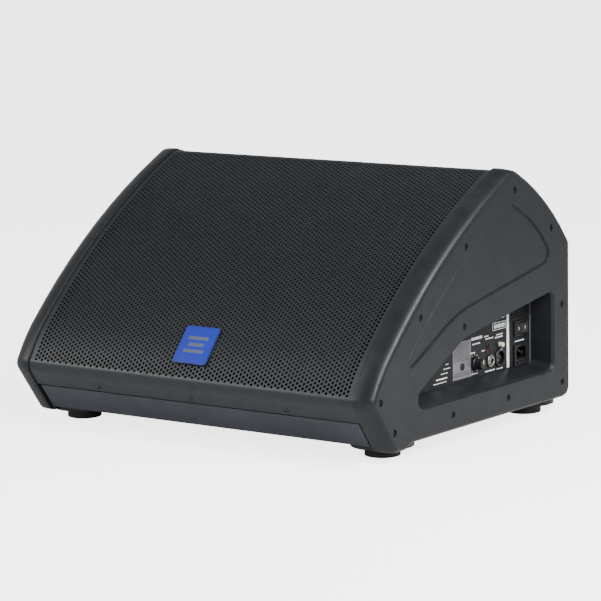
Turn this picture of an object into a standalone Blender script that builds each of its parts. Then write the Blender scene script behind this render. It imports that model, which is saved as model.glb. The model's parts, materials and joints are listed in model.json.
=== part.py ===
"""Stage monitor wedge, built as an assembly of separate pieces.

Frame: +X points to the amplifier side, -Y to the low front nose, +Z up. The origin is the centre of
the footprint on the floor. Every length below is in millimetres and becomes metres when a mesh is made.
"""
import math

import bmesh
import bpy
from mathutils import Matrix, Vector

MM = 0.001
GAP = 0.3

# Whole object
HALF_WIDTH = 287.5
BACK_Y = 231.5
CHEEK_BOTTOM = 19.5
FOOT_PLATE_BOTTOM = 13.0

# Side outline (y, z, corner radius), from the nose upwards and round the back. The two long curves
# are the corners of radius 902 (front) and 350 (rear).
SIDE_OUTLINE = [
    (-235.3, 80.1, 18.0),
    (-210.0, 120.9, 200.0),
    (-82.9, 254.9, 902.0),
    (88.9, 338.8, 24.0),
    (178.7, 293.0, 350.0),
    (BACK_Y, 226.0, 8.0),
    (BACK_Y, CHEEK_BOTTOM, 14.0),
    (-140.0, CHEEK_BOTTOM, 14.0),
    (-153.0, FOOT_PLATE_BOTTOM, 14.0),
    (-186.3, FOOT_PLATE_BOTTOM, 13.0),
]
# Edge k runs from corner k to corner k + 1: the first three and the last face the audience.
FRONT_EDGES = (0, 1, 2, 9)

# Moulded cheeks
CHEEK_INNER_X = 256.0
RIM_EDGE_X = 259.5
RIM_CREST_X = 262.5
FRONT_ROUND_DEPTH = 13.0
BACK_ROUND = 5.0
GRILLE_INSET = 3.0
GRILLE_SHEET = 1.2
REBATE_INSET = GRILLE_INSET + GRILLE_SHEET + GAP
CHEEK_WALL = 4.5
SCREW_PLACES = [
    (96.5, 308.0), (184.5, 249.0), (210.5, 145.0), (211.5, 41.0), (78.5, 41.0), (-50.5, 40.0),
    (-180.5, 39.0), (-209.5, 81.0), (-121.5, 173.0), (-18.5, 249.0), (-23.5, 148.0),
]
SCREW_HEAD_RADIUS = 4.6
SCREW_SINK = 3.2
SCREW_BOSS_RADIUS = 7.5
LEAF_OUTLINE = [
    (-176.5, 93.7, 7.5), (-57.1, 219.7, 640.0), (89.7, 291.3, 5.0), (151.3, 259.8, 180.0),
    (192.4, 207.3, 14.0), (-34.9, 166.5, 200.0),
]
LEAF_DEPTH = 1.6

# The long side pocket: amplifier panel on the right, hand pocket on the left
POCKET_OUTLINE = [
    (-165.6, 58.5, 12.2), (-21.7, 133.4, 120.0), (191.5, 165.3, 12.0), (191.5, 59.5, 12.0),
]
POCKET_INSETS = (5.0, 5.0, 5.5, 10.0)
POCKET_LIP = 4.0
POCKET_WALL = 3.5
PANEL_FACE_X = 258.0
PANEL_SHEET = 2.0
POCKET_FLOOR_X = 224.0

# Plywood box
BOARD = 15.0
SIDE_BOARD = 14.0
TOP_BOARD = 12.0
BOX_HALF_WIDTH = 255.7
BOX_INSET = 3.0
SEAM_Z = 52.0
RIDGE_Y = 94.0
BAFFLE_TILT = math.radians(36.8)
BAFFLE_BEHIND_GRILLE = 30.0
FOAM_SHEET = 6.0
ARC_CENTRE = (459.4, -484.7)
FLANGE_SCREW_X = 151.0
FLANGE_SCREW_Z = 58.0
BADGE_ANGLE = 45.6
BADGE_SIZE = (54.0, 55.0)

# Feet
FOOT_X = 241.5
FOOT_FRONT_Y = -140.5
FOOT_REAR_Y = 189.0
FOOT_RADIUS = 22.8
FOOT_PLATE_RADIUS = 40.0
FOOT_SCREW_RADIUS = 2.4

# Loudspeaker, along its own axis: 0 is the front of the baffle, + is towards the audience
FRAME_RADIUS = 155.0
BAFFLE_HOLE_RADIUS = 143.0
CONE_RADIUS = 126.0
COIL_RADIUS = 32.0
MAGNET_RADIUS = 90.0
PORT_RADIUS = 24.0
PORT_X = 198.0
PORT_LENGTH = 95.0

# Amplifier panel fittings (y, z)
KNOB = (45.0, 88.0)
JACK = (81.5, 86.0)
XLR = (104.5, 86.5)
LIFT_BUTTON = (103.5, 104.5)
MODE_BUTTON = (78.5, 106.5)
LEDS = {"led_signal": (74.0, 99.5), "led_limit": (83.0, 100.5)}
ROCKER = (154.5, 119.0)
INLET = (154.0, 86.5)
ROCKER_TILT = math.radians(9.0)


# Scene and materials

def clear_scene():
    """Start from an empty scene."""
    for existing in list(bpy.data.objects):
        bpy.data.objects.remove(existing, do_unlink=True)


def make_material(name, colour, roughness, metallic=0.0):
    """A Principled material with one plain finish."""
    material = bpy.data.materials.new(name)
    material.use_nodes = True
    shader = material.node_tree.nodes["Principled BSDF"]
    shader.inputs["Base Color"].default_value = (*colour, 1.0)
    shader.inputs["Roughness"].default_value = roughness
    shader.inputs["Metallic"].default_value = metallic
    return material


# Outlines in the y-z plane

def corner_arc(before, corner, after, radius, steps):
    """Points of the arc that rounds one corner of an outline."""
    here = Vector(corner)
    towards_before = (Vector(before) - here).normalized()
    towards_after = (Vector(after) - here).normalized()
    half_angle = towards_before.angle(towards_after) / 2.0
    reach = radius / math.tan(half_angle)
    first = here + towards_before * reach
    last = here + towards_after * reach
    centre = here + (towards_before + towards_after).normalized() * (radius / math.sin(half_angle))
    start = math.atan2(first.y - centre.y, first.x - centre.x)
    sweep = math.atan2(last.y - centre.y, last.x - centre.x) - start
    sweep = (sweep + math.pi) % (2.0 * math.pi) - math.pi
    points = []
    for step in range(steps + 1):
        angle = start + sweep * step / steps
        points.append((centre.x + radius * math.cos(angle), centre.y + radius * math.sin(angle)))
    return points


def arc_steps(radius):
    """How many straight pieces make one rounded corner."""
    return 9 if radius > 500.0 else 6 if radius > 150.0 else 4


def rounded(corners, steps=None):
    """Outline points of a polygon whose corners are (y, z, radius)."""
    points = []
    count = len(corners)
    for index, (y, z, radius) in enumerate(corners):
        before = corners[index - 1][:2]
        after = corners[(index + 1) % count][:2]
        corner_steps = steps[index] if steps else arc_steps(radius)
        points.extend(corner_arc(before, (y, z), after, radius, corner_steps))
    return points


def inset(corners, depths):
    """Move every edge of a clockwise polygon inwards by its own depth."""
    count = len(corners)
    moved = []
    for index in range(count):
        y0, z0, _ = corners[index]
        y1, z1, _ = corners[(index + 1) % count]
        along = Vector((y1 - y0, z1 - z0)).normalized()
        inward = Vector((along.y, -along.x))
        moved.append((Vector((y0, z0)) + inward * depths[index], along))
    result = []
    for index, (_, _, radius) in enumerate(corners):
        point_a, along_a = moved[index - 1]
        point_b, along_b = moved[index]
        cross = along_a.x * along_b.y - along_a.y * along_b.x
        offset = point_b - point_a
        travel = (offset.x * along_b.y - offset.y * along_b.x) / cross
        corner = point_a + along_a * travel
        depth = (depths[index - 1] + depths[index]) / 2.0
        change = -depth if cross < 0.0 else depth
        result.append((corner.x, corner.y, max(radius + change, 1.5)))
    return result


def inset_all(corners, depth):
    """Move every edge of a polygon inwards by the same depth."""
    return inset(corners, [depth] * len(corners))


def front_line_y(height, depth):
    """The y of the lower front slope at a height, at a depth below its surface."""
    (y0, z0, _), (y1, z1, _) = inset_all(SIDE_OUTLINE, depth)[-1], inset_all(SIDE_OUTLINE, depth)[0]
    return y0 + (y1 - y0) * (height - z0) / (z1 - z0)


# Meshes

def vertex(mesh, x, y, z):
    """One vertex, given in millimetres."""
    return mesh.verts.new((x * MM, y * MM, z * MM))


def loft_x(layers):
    """A closed solid through equal outlines at rising x: [(x, [(y, z), ...]), ...]."""
    mesh = bmesh.new()
    rings = [[vertex(mesh, x, y, z) for y, z in outline] for x, outline in layers]
    for lower, upper in zip(rings[:-1], rings[1:]):
        count = len(lower)
        for index in range(count):
            following = (index + 1) % count
            mesh.faces.new((lower[index], lower[following], upper[following], upper[index]))
    mesh.faces.new(rings[0][::-1])
    mesh.faces.new(rings[-1])
    if mesh.calc_volume(signed=True) < 0.0:
        bmesh.ops.reverse_faces(mesh, faces=mesh.faces)
    return mesh


def prism_x(outline, low_x, high_x):
    """An outline extruded along x."""
    return loft_x([(low_x, outline), (high_x, outline)])


def block(x0, x1, y0, y1, z0, z1):
    """A box between two corners."""
    mesh = bmesh.new()
    bmesh.ops.create_cube(mesh, size=1.0)
    size = Matrix.Diagonal(((x1 - x0) * MM, (y1 - y0) * MM, (z1 - z0) * MM, 1.0))
    centre = Matrix.Translation(Vector((x0 + x1, y0 + y1, z0 + z1)) * MM / 2.0)
    bmesh.ops.transform(mesh, matrix=centre @ size, verts=mesh.verts)
    return mesh


def rod(radius, low, high, segments=20, end_radius=None):
    """A cylinder along z, from low to high."""
    mesh = bmesh.new()
    bmesh.ops.create_cone(
        mesh, cap_ends=True, segments=segments, radius1=radius * MM,
        radius2=(radius if end_radius is None else end_radius) * MM, depth=(high - low) * MM,
        matrix=Matrix.Translation((0.0, 0.0, (low + high) * MM / 2.0)))
    return mesh


def turned(profile, segments=32):
    """A solid of revolution about z from a closed (radius, height) profile."""
    mesh = bmesh.new()
    points = [mesh.verts.new((radius * MM, 0.0, height * MM)) for radius, height in profile]
    edges = [mesh.edges.new((points[i - 1], points[i])) for i in range(len(points))]
    on_axis = [edge for edge in edges if all(abs(v.co.x) < 1e-9 for v in edge.verts)]
    bmesh.ops.delete(mesh, geom=on_axis, context="EDGES_FACES")
    swept = mesh.verts[:] + mesh.edges[:]
    bmesh.ops.spin(mesh, geom=swept, cent=(0, 0, 0), axis=(0, 0, 1), angle=2.0 * math.pi,
                   steps=segments, use_merge=True)
    bmesh.ops.remove_doubles(mesh, verts=mesh.verts, dist=1e-6)
    if mesh.calc_volume(signed=True) < 0.0:
        bmesh.ops.reverse_faces(mesh, faces=mesh.faces)
    return mesh


def shifted(mesh, x=0.0, y=0.0, z=0.0):
    """The same mesh moved, in millimetres."""
    bmesh.ops.translate(mesh, vec=Vector((x, y, z)) * MM, verts=mesh.verts)
    return mesh


def facing_x(mesh, x=0.0, y=0.0, z=0.0):
    """Turn a mesh made along z so that it points along +x, then move it."""
    bmesh.ops.rotate(mesh, matrix=Matrix.Rotation(math.radians(90.0), 3, "Y"), verts=mesh.verts)
    return shifted(mesh, x, y, z)


def mirrored_x(mesh):
    """The mirror image of a mesh on the other side of the box."""
    bmesh.ops.scale(mesh, vec=(-1.0, 1.0, 1.0), verts=mesh.verts)
    bmesh.ops.reverse_faces(mesh, faces=mesh.faces)
    return mesh


def together(meshes):
    """Several separate shapes as one mesh, for a tool that cuts them all at once."""
    result = meshes[0]
    for extra in meshes[1:]:
        data = bpy.data.meshes.new("extra")
        extra.to_mesh(data)
        extra.free()
        result.from_mesh(data)
        bpy.data.meshes.remove(data)
    return result


def place(name, mesh, material, location=(0.0, 0.0, 0.0), tilt=0.0, smooth_angle=30.0):
    """Make a named object at a place in millimetres, tilted about x."""
    data = bpy.data.meshes.new(name)
    mesh.to_mesh(data)
    mesh.free()
    data.materials.append(material)
    piece = bpy.data.objects.new(name, data)
    bpy.context.scene.collection.objects.link(piece)
    piece.location = Vector(location) * MM
    piece.rotation_euler = (tilt, 0.0, 0.0)
    data.shade_smooth()
    data.set_sharp_from_angle(angle=math.radians(smooth_angle))
    return piece


def combine(target, mesh, operation, label):
    """Cut a shape from a piece, or join it on, with a Boolean in the piece's own frame."""
    data = bpy.data.meshes.new(label)
    mesh.to_mesh(data)
    mesh.free()
    tool = bpy.data.objects.new(label, data)
    bpy.context.scene.collection.objects.link(tool)
    tool.matrix_world = target.matrix_basis
    tool.hide_render = True
    tool.display_type = "WIRE"
    modifier = target.modifiers.new(label, "BOOLEAN")
    modifier.operation = operation
    modifier.solver = "EXACT"
    modifier.object = tool
    return tool


def cut(target, mesh, label):
    """Cut a shape out of a piece."""
    return combine(target, mesh, "DIFFERENCE", label)


def join(target, mesh, label):
    """Join a shape onto a piece, into one body."""
    return combine(target, mesh, "UNION", label)


# Cheeks

def cheek_layers():
    """Outlines of the cheek from its inner face to its outer face."""
    steps = [arc_steps(radius) for _, _, radius in SIDE_OUTLINE]
    edges = range(len(SIDE_OUTLINE))
    layers = []

    def add(x, front_depth, back_depth):
        depths = [front_depth if edge in FRONT_EDGES else back_depth for edge in edges]
        layers.append((x, rounded(inset(SIDE_OUTLINE, depths), steps)))

    add(CHEEK_INNER_X, REBATE_INSET, 0.0)
    add(RIM_EDGE_X - 0.1, REBATE_INSET, 0.0)
    add(RIM_EDGE_X, GRILLE_INSET - 1.0, 0.0)
    add(RIM_EDGE_X + 0.9, 0.6, 0.0)
    width = HALF_WIDTH - RIM_CREST_X
    for angle in (0, 22, 42, 60, 74, 84, 90):
        x = RIM_CREST_X + width * math.sin(math.radians(angle))
        front_depth = FRONT_ROUND_DEPTH * (1.0 - math.cos(math.radians(angle)))
        past = max(0.0, x - (HALF_WIDTH - BACK_ROUND)) / BACK_ROUND
        back_depth = BACK_ROUND * (1.0 - math.sqrt(max(0.0, 1.0 - past * past)))
        add(x, front_depth, back_depth)
    return layers


def pocket_layers(grow, inner_x, outer_x):
    """The tapered side pocket, from its floor to beyond the outer face."""
    steps = [arc_steps(radius) for _, _, radius in POCKET_OUTLINE]
    mouth = inset_all(POCKET_OUTLINE, -grow)
    taper_end = HALF_WIDTH - POCKET_LIP
    floor_depths = [depth - grow for depth in POCKET_INSETS]
    waist_depths = [1.0 - grow] * len(POCKET_INSETS)
    layers = [(inner_x, rounded(inset(POCKET_OUTLINE, floor_depths), steps))]
    layers.append((PANEL_FACE_X + GAP, rounded(inset(POCKET_OUTLINE, floor_depths), steps)))
    layers.append((taper_end, rounded(inset(POCKET_OUTLINE, waist_depths), steps)))
    lip = 1.5 if grow == 0.0 else 0.0
    layers.append((HALF_WIDTH, rounded(inset_all(mouth, -lip), steps)))
    if outer_x > HALF_WIDTH:
        layers.append((outer_x, rounded(inset_all(mouth, -lip), steps)))
    return layers


def cheek_hollow():
    """The space inside the moulding, around its screw bosses and the pocket's sleeve."""
    depths = [FRONT_ROUND_DEPTH + 5.0 if edge in FRONT_EDGES else 8.0 for edge in range(len(SIDE_OUTLINE))]
    room = inset(SIDE_OUTLINE, depths)
    return prism_x(rounded(room), CHEEK_INNER_X - 5.0, HALF_WIDTH - CHEEK_WALL - LEAF_DEPTH)


def build_cheek(side, material):
    """One moulded cheek. side is +1 for the amplifier side and -1 for the other."""
    name = "cheek_right" if side > 0 else "cheek_left"

    def handed(mesh):
        return mesh if side > 0 else mirrored_x(mesh)

    hollow = place(name + "_hollow", handed(cheek_hollow()), material)
    hollow.hide_render = True
    hollow.display_type = "WIRE"
    kept = [loft_x(pocket_layers(POCKET_WALL, CHEEK_INNER_X - 10.0, HALF_WIDTH))]
    for y, z in SCREW_PLACES:
        kept.append(facing_x(rod(SCREW_BOSS_RADIUS, CHEEK_INNER_X - 9.0, HALF_WIDTH + 1.0, 8), y=y, z=z))
    cut(hollow, handed(together(kept)), name + "_kept_walls")

    cheek = place(name, handed(loft_x(cheek_layers())), material)
    tool = cheek.modifiers.new("hollow", "BOOLEAN")
    tool.operation = "DIFFERENCE"
    tool.solver = "EXACT"
    tool.object = hollow
    cut(cheek, handed(loft_x(pocket_layers(0.0, CHEEK_INNER_X - 10.0, HALF_WIDTH + 10.0))), name + "_pocket")
    clearance = block(CHEEK_INNER_X - 5.0, PANEL_FACE_X + GAP, -136.0, 196.0, 53.0, 172.0)
    cut(cheek, handed(clearance), name + "_panel_room")
    leaf = prism_x(rounded(LEAF_OUTLINE), HALF_WIDTH - LEAF_DEPTH, HALF_WIDTH + 5.0)
    cut(cheek, handed(leaf), name + "_leaf")
    sinks = []
    for y, z in SCREW_PLACES:
        sink = rod(SCREW_HEAD_RADIUS, HALF_WIDTH - SCREW_SINK, HALF_WIDTH + 5.0, 10)
        sinks.append(facing_x(sink, y=y, z=z))
    cut(cheek, handed(together(sinks)), name + "_screw_sinks")
    for label, foot_y in (("front", FOOT_FRONT_Y), ("rear", FOOT_REAR_Y)):
        boss = shifted(rod(FOOT_PLATE_RADIUS, FOOT_PLATE_BOTTOM, CHEEK_BOTTOM - GAP, 40), FOOT_X, foot_y)
        join(cheek, handed(boss), f"{name}_{label}_foot_plate")
        root = block(CHEEK_INNER_X, FOOT_X + 30.0, foot_y - 25.0, foot_y + 25.0,
                     FOOT_PLATE_BOTTOM + 1.0, CHEEK_BOTTOM + 4.0)
        join(cheek, handed(root), f"{name}_{label}_foot_root")
        hole = shifted(rod(FOOT_SCREW_RADIUS + GAP, 0.0, CHEEK_BOTTOM + 10.0, 12), FOOT_X, foot_y)
        cut(cheek, handed(hole), f"{name}_{label}_foot_hole")
    return cheek


# Plywood box

def on_front_arc(radius, angle):
    """The point of the front arc's circle at an angle from upright, for one radius."""
    return (0.0, ARC_CENTRE[0] - radius * math.sin(angle), ARC_CENTRE[1] + radius * math.cos(angle))


def baffle_origin():
    """Centre of the loudspeaker on the front of the baffle."""
    radius = SIDE_OUTLINE[2][2] - GRILLE_INSET
    depth = radius - BAFFLE_BEHIND_GRILLE
    return on_front_arc(depth, BAFFLE_TILT)


def outline_between(depth, low_y, high_y, minimum_z):
    """Points of the side outline at a depth, whose y is in a range, above a height."""
    points = rounded(inset_all(SIDE_OUTLINE, depth))
    return [(y, z) for y, z in points if low_y <= y <= high_y and z >= minimum_z]


def build_box(paint, raw):
    """The plywood boards between the cheeks."""
    half = BOX_HALF_WIDTH
    inner_front = BOX_INSET + BOARD
    bottom_top = CHEEK_BOTTOM + BOARD
    back_inner = BACK_Y - BOX_INSET - BOARD
    bottom = place("bottom_board", prism_x([
        (front_line_y(CHEEK_BOTTOM, inner_front) + GAP, CHEEK_BOTTOM),
        (front_line_y(bottom_top, inner_front) + GAP, bottom_top),
        (back_inner - GAP, bottom_top),
        (back_inner - GAP, CHEEK_BOTTOM),
    ], -half, half), paint)
    for side in (-1, 1):
        for foot_y in (FOOT_FRONT_Y, FOOT_REAR_Y):
            hole = shifted(rod(FOOT_SCREW_RADIUS + 0.2, 0.0, 30.0, 12), side * FOOT_X, foot_y)
            cut(bottom, hole, f"bottom_board_hole_{side}_{foot_y:.0f}")

    baffle_y, baffle_z = baffle_origin()[1:]
    normal = Vector((-math.sin(BAFFLE_TILT), math.cos(BAFFLE_TILT)))
    upward = Vector((math.cos(BAFFLE_TILT), math.sin(BAFFLE_TILT)))
    underside = Vector((baffle_y, baffle_z)) - normal * (BOARD + GAP)

    def under_baffle(depth):
        """Where the lower front slope, at a depth, meets the underside of the baffle."""
        low = Vector((front_line_y(20.0, depth), 20.0))
        slope = Vector((front_line_y(80.0, depth), 80.0)) - low
        gap = underside - low
        travel = (gap.x * upward.y - gap.y * upward.x) / (slope.x * upward.y - slope.y * upward.x)
        return tuple(low + slope * travel)

    place("front_board", prism_x([
        (front_line_y(CHEEK_BOTTOM, BOX_INSET), CHEEK_BOTTOM),
        (front_line_y(SEAM_Z, BOX_INSET), SEAM_Z),
        (front_line_y(SEAM_Z, REBATE_INSET), SEAM_Z),
        under_baffle(REBATE_INSET),
        under_baffle(inner_front),
        (front_line_y(CHEEK_BOTTOM, inner_front), CHEEK_BOTTOM),
    ], -half, half), paint)

    back_top = 224.0
    place("back_board", prism_x([
        (back_inner, CHEEK_BOTTOM),
        (back_inner, back_top),
        (BACK_Y - BOX_INSET, back_top),
        (BACK_Y - BOX_INSET, CHEEK_BOTTOM + 8.0),
        (BACK_Y - BOX_INSET - 8.0, CHEEK_BOTTOM),
    ], -half, half), paint)

    outer = outline_between(BOX_INSET, RIDGE_Y, BACK_Y - 4.0, back_top + GAP)
    inner = outline_between(BOX_INSET + TOP_BOARD, RIDGE_Y + 12.0, BACK_Y - 14.0, back_top + GAP)
    batten = [(RIDGE_Y + 12.0, 304.0), (RIDGE_Y, 304.0)]
    place("top_board", prism_x(batten + outer + inner[::-1], -half, half), paint)

    baffle = place("baffle", block(-241.2, 241.2, -186.0, 176.0, -BOARD, 0.0), raw,
                   baffle_origin(), BAFFLE_TILT)
    cut(baffle, rod(BAFFLE_HOLE_RADIUS, -30.0, 30.0, 36), "baffle_driver_hole")
    for side in (-1, 1):
        hole = shifted(rod(PORT_RADIUS + 2.0 + GAP, -30.0, 30.0, 20), side * PORT_X, -120.0)
        cut(baffle, hole, f"baffle_port_hole_{side}")

    side_outline = [
        (front_line_y(bottom_top + GAP, inner_front + GAP), bottom_top + GAP),
        (front_line_y(72.0, inner_front + GAP), 72.0),
    ]
    side_outline += outline_between(inner_front + 14.0, -196.0, 70.0, 96.0)
    side_outline += [(88.0, 300.0), (RIDGE_Y + 16.0, 302.0)]
    side_outline += outline_between(inner_front + GAP, RIDGE_Y + 17.0, back_inner - GAP, 200.0)
    side_outline += [(back_inner - GAP, bottom_top + GAP)]
    for side, name in ((1, "side_board_right"), (-1, "side_board_left")):
        low, high = sorted((side * (half - SIDE_BOARD), side * half))
        board = place(name, prism_x(side_outline, low, high), raw)
        if side > 0:
            window = prism_x([(-98.0, 66.0), (-98.0, 92.0), (-40.0, 122.0), (176.0, 156.0), (176.0, 66.0)],
                             low - 5.0, high + 5.0)
        else:
            window = prism_x(rounded(inset_all(POCKET_OUTLINE, 0.0)), low - 5.0, high + 5.0)
        cut(board, window, name + "_window")


# Grille, foam and badge

def sheet_outline(depth, thickness, end_y, start_z):
    """Cross-section of a bent sheet that follows the front, from a height up to the ridge."""
    def front_side(at):
        depths = [at if edge in FRONT_EDGES else 0.0 for edge in range(len(SIDE_OUTLINE))]
        corners = inset(SIDE_OUTLINE, depths)
        points = [(y, z) for y, z in rounded(corners) if y < 140.0 and z > 30.0]
        points.insert(0, (front_line_y(20.0, at), 20.0))
        risen = 0
        while points[risen][1] < start_z:
            risen += 1
        kept = [point_between(points[risen - 1], points[risen], 1, start_z)]
        while points[risen][0] < end_y:
            kept.append(points[risen])
            risen += 1
        kept.append(point_between(points[risen - 1], points[risen], 0, end_y))
        return kept
    return front_side(depth) + front_side(depth + thickness)[::-1]


def point_between(first, second, axis, value):
    """The point of a segment where one of its two coordinates has a value."""
    share = (value - first[axis]) / (second[axis] - first[axis])
    return tuple(Vector(first).lerp(Vector(second), share))


def build_front(steel, foam, enamel, screw_steel):
    """The perforated grille with its screws, the foam behind it and the badge plate."""
    grille_end = RIM_EDGE_X - GAP
    outline = sheet_outline(GRILLE_INSET, GRILLE_SHEET, RIDGE_Y - 1.0, SEAM_Z + GAP)
    grille = place("grille", prism_x(outline, -grille_end, grille_end), steel)
    outline = sheet_outline(REBATE_INSET, FOAM_SHEET, RIDGE_Y - 9.0, 104.0)
    place("grille_foam", prism_x(outline, -240.0, 240.0), foam)

    slope = math.radians(126.2)
    screw_y = front_line_y(FLANGE_SCREW_Z, GRILLE_INSET)
    for index, x in enumerate((-FLANGE_SCREW_X, 0.0, FLANGE_SCREW_X)):
        screw = place(f"grille_screw_{index + 1}", turned([
            (0.0, -11.0), (1.6, -11.0), (1.6, 0.2), (4.2, 0.2), (4.0, 1.2), (2.4, 2.0), (0.0, 2.2)], 12),
            screw_steel, (x, screw_y, FLANGE_SCREW_Z), slope)
        for owner in (grille, bpy.data.objects["front_board"]):
            hole = rod(2.0, -16.0, 6.0, 10)
            bmesh.ops.transform(hole, matrix=screw.matrix_basis, verts=hole.verts)
            cut(owner, hole, f"{owner.name}_screw_hole_{index + 1}")

    radius = SIDE_OUTLINE[2][2] - GRILLE_INSET
    angle = math.radians(BADGE_ANGLE)
    centre = on_front_arc(radius + GAP, angle)
    half_x, half_v = BADGE_SIZE[0] / 2.0, BADGE_SIZE[1] / 2.0
    plate = block(-half_x, half_x, -half_v, half_v, 0.4, 2.6)
    upright = [edge for edge in plate.edges if abs(edge.verts[0].co.z - edge.verts[1].co.z) > 0.001]
    bmesh.ops.bevel(plate, geom=upright, offset=4.0 * MM, segments=3, profile=0.5, affect="EDGES")
    place("badge_plate", plate, enamel, centre, angle)


# Feet

def build_feet(rubber, screw_steel):
    """Four rubber feet, each held by one screw."""
    for side, hand in ((1, "right"), (-1, "left")):
        for label, y in (("front", FOOT_FRONT_Y), ("rear", FOOT_REAR_Y)):
            top = FOOT_PLATE_BOTTOM - GAP
            hole = FOOT_SCREW_RADIUS + GAP
            place(f"foot_{label}_{hand}", turned([
                (hole, top), (hole, 6.0), (8.0, 6.0), (8.0, 0.0), (FOOT_RADIUS - 1.5, 0.0),
                (FOOT_RADIUS, 1.5), (FOOT_RADIUS, top)], 24),
                rubber, (side * FOOT_X, y, 0.0))
            place(f"foot_screw_{label}_{hand}", turned([
                (0.0, 2.6), (4.5, 2.8), (6.0, 4.0), (6.0, 5.6), (FOOT_SCREW_RADIUS, 5.6),
                (FOOT_SCREW_RADIUS, 28.0), (0.0, 29.0)], 8), screw_steel, (side * FOOT_X, y, 0.0))


# Loudspeaker

def build_driver(paint, paper, rubber, magnet, steel, copper, plastic):
    """A twelve inch coaxial loudspeaker, turned about its own tilted axis."""
    centre = baffle_origin()

    def add(name, profile, material, segments=28):
        return place(name, turned(profile, segments), material, centre, BAFFLE_TILT)

    basket = add("driver_basket", [
        (FRAME_RADIUS, GAP), (FRAME_RADIUS, 5.0), (133.0, 5.0), (132.6, -6.0), (128.5, -20.0),
        (70.0, -62.0), (64.0, -76.0), (35.0, -76.0), (35.0, -80.0), (68.0, -80.0), (74.0, -64.0),
        (134.0, -22.0), (137.0, GAP)], paint)
    windows = []
    for index in range(6):
        window = block(84.0, 150.0, -30.0, 30.0, -60.0, -26.0)
        turn = Matrix.Rotation(math.radians(60.0 * index), 3, "Z")
        bmesh.ops.rotate(window, matrix=turn, verts=window.verts)
        windows.append(window)
    cut(basket, together(windows), "driver_basket_windows")
    add("driver_gasket", [(134.0, 5.3), (153.0, 5.3), (153.0, 7.5), (134.0, 7.5)], rubber)
    add("driver_surround", [
        (126.6, -2.0), (127.6, 1.5), (129.0, 3.4), (130.6, 3.4), (131.4, 1.5), (131.6, -1.0),
        (130.6, -1.0), (130.2, 1.0), (129.8, 2.2), (128.8, 1.0), (127.8, -2.6)], rubber)
    add("driver_cone", [
        (COIL_RADIUS + 1.6, -50.0), (CONE_RADIUS, -4.0), (CONE_RADIUS, -2.8),
        (COIL_RADIUS + 1.6, -48.6)], paper)
    add("voice_coil", [
        (COIL_RADIUS, -93.0), (COIL_RADIUS + 1.2, -93.0), (COIL_RADIUS + 1.2, -48.0), (COIL_RADIUS, -48.0)],
        copper, 28)
    add("driver_spider", [
        (33.8, -60.0), (40.0, -58.0), (46.0, -60.0), (52.0, -58.0), (58.0, -60.0), (62.0, -60.0),
        (62.0, -61.0), (58.0, -61.0), (52.0, -59.0), (46.0, -61.0), (40.0, -59.0), (33.8, -61.0)], paper, 28)
    add("magnet_top_plate", [(34.6, -80.3), (76.0, -80.3), (76.0, -88.0), (34.6, -88.0)], steel, 28)
    add("magnet_ring", [
        (44.0, -88.3), (MAGNET_RADIUS, -88.3), (MAGNET_RADIUS, -108.0), (44.0, -108.0)], magnet)
    add("magnet_back_plate", [
        (14.0, -116.0), (82.0, -116.0), (86.0, -112.0), (86.0, -108.3), (30.4, -108.3), (30.4, -80.0),
        (18.5, -80.0), (14.0, -84.0)], steel, 28)
    add("horn", [
        (12.7, -79.5), (12.7, -60.0), (17.0, -40.0), (28.0, -22.0), (50.0, -8.0), (50.0, -10.6),
        (29.0, -24.6), (19.2, -41.0), (15.0, -60.0), (15.0, -70.0), (18.0, -72.0),
        (18.0, -79.5)], plastic)
    add("compression_driver", [
        (0.0, -117.0), (44.0, -117.0), (45.0, -120.0), (45.0, -150.0), (38.0, -158.0),
        (0.0, -158.0)], paint)
    for side, hand in ((1, "right"), (-1, "left")):
        outer = PORT_RADIUS + 2.0
        profile = [
            (PORT_RADIUS, -PORT_LENGTH), (outer, -PORT_LENGTH), (outer, GAP), (outer + 6.0, GAP),
            (outer + 5.0, 2.4), (PORT_RADIUS + 1.5, 2.4), (PORT_RADIUS, 0.0)]
        tube = shifted(turned(profile, 20), side * PORT_X, -120.0)
        place(f"port_tube_{hand}", tube, plastic, centre, BAFFLE_TILT)


# Amplifier

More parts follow.
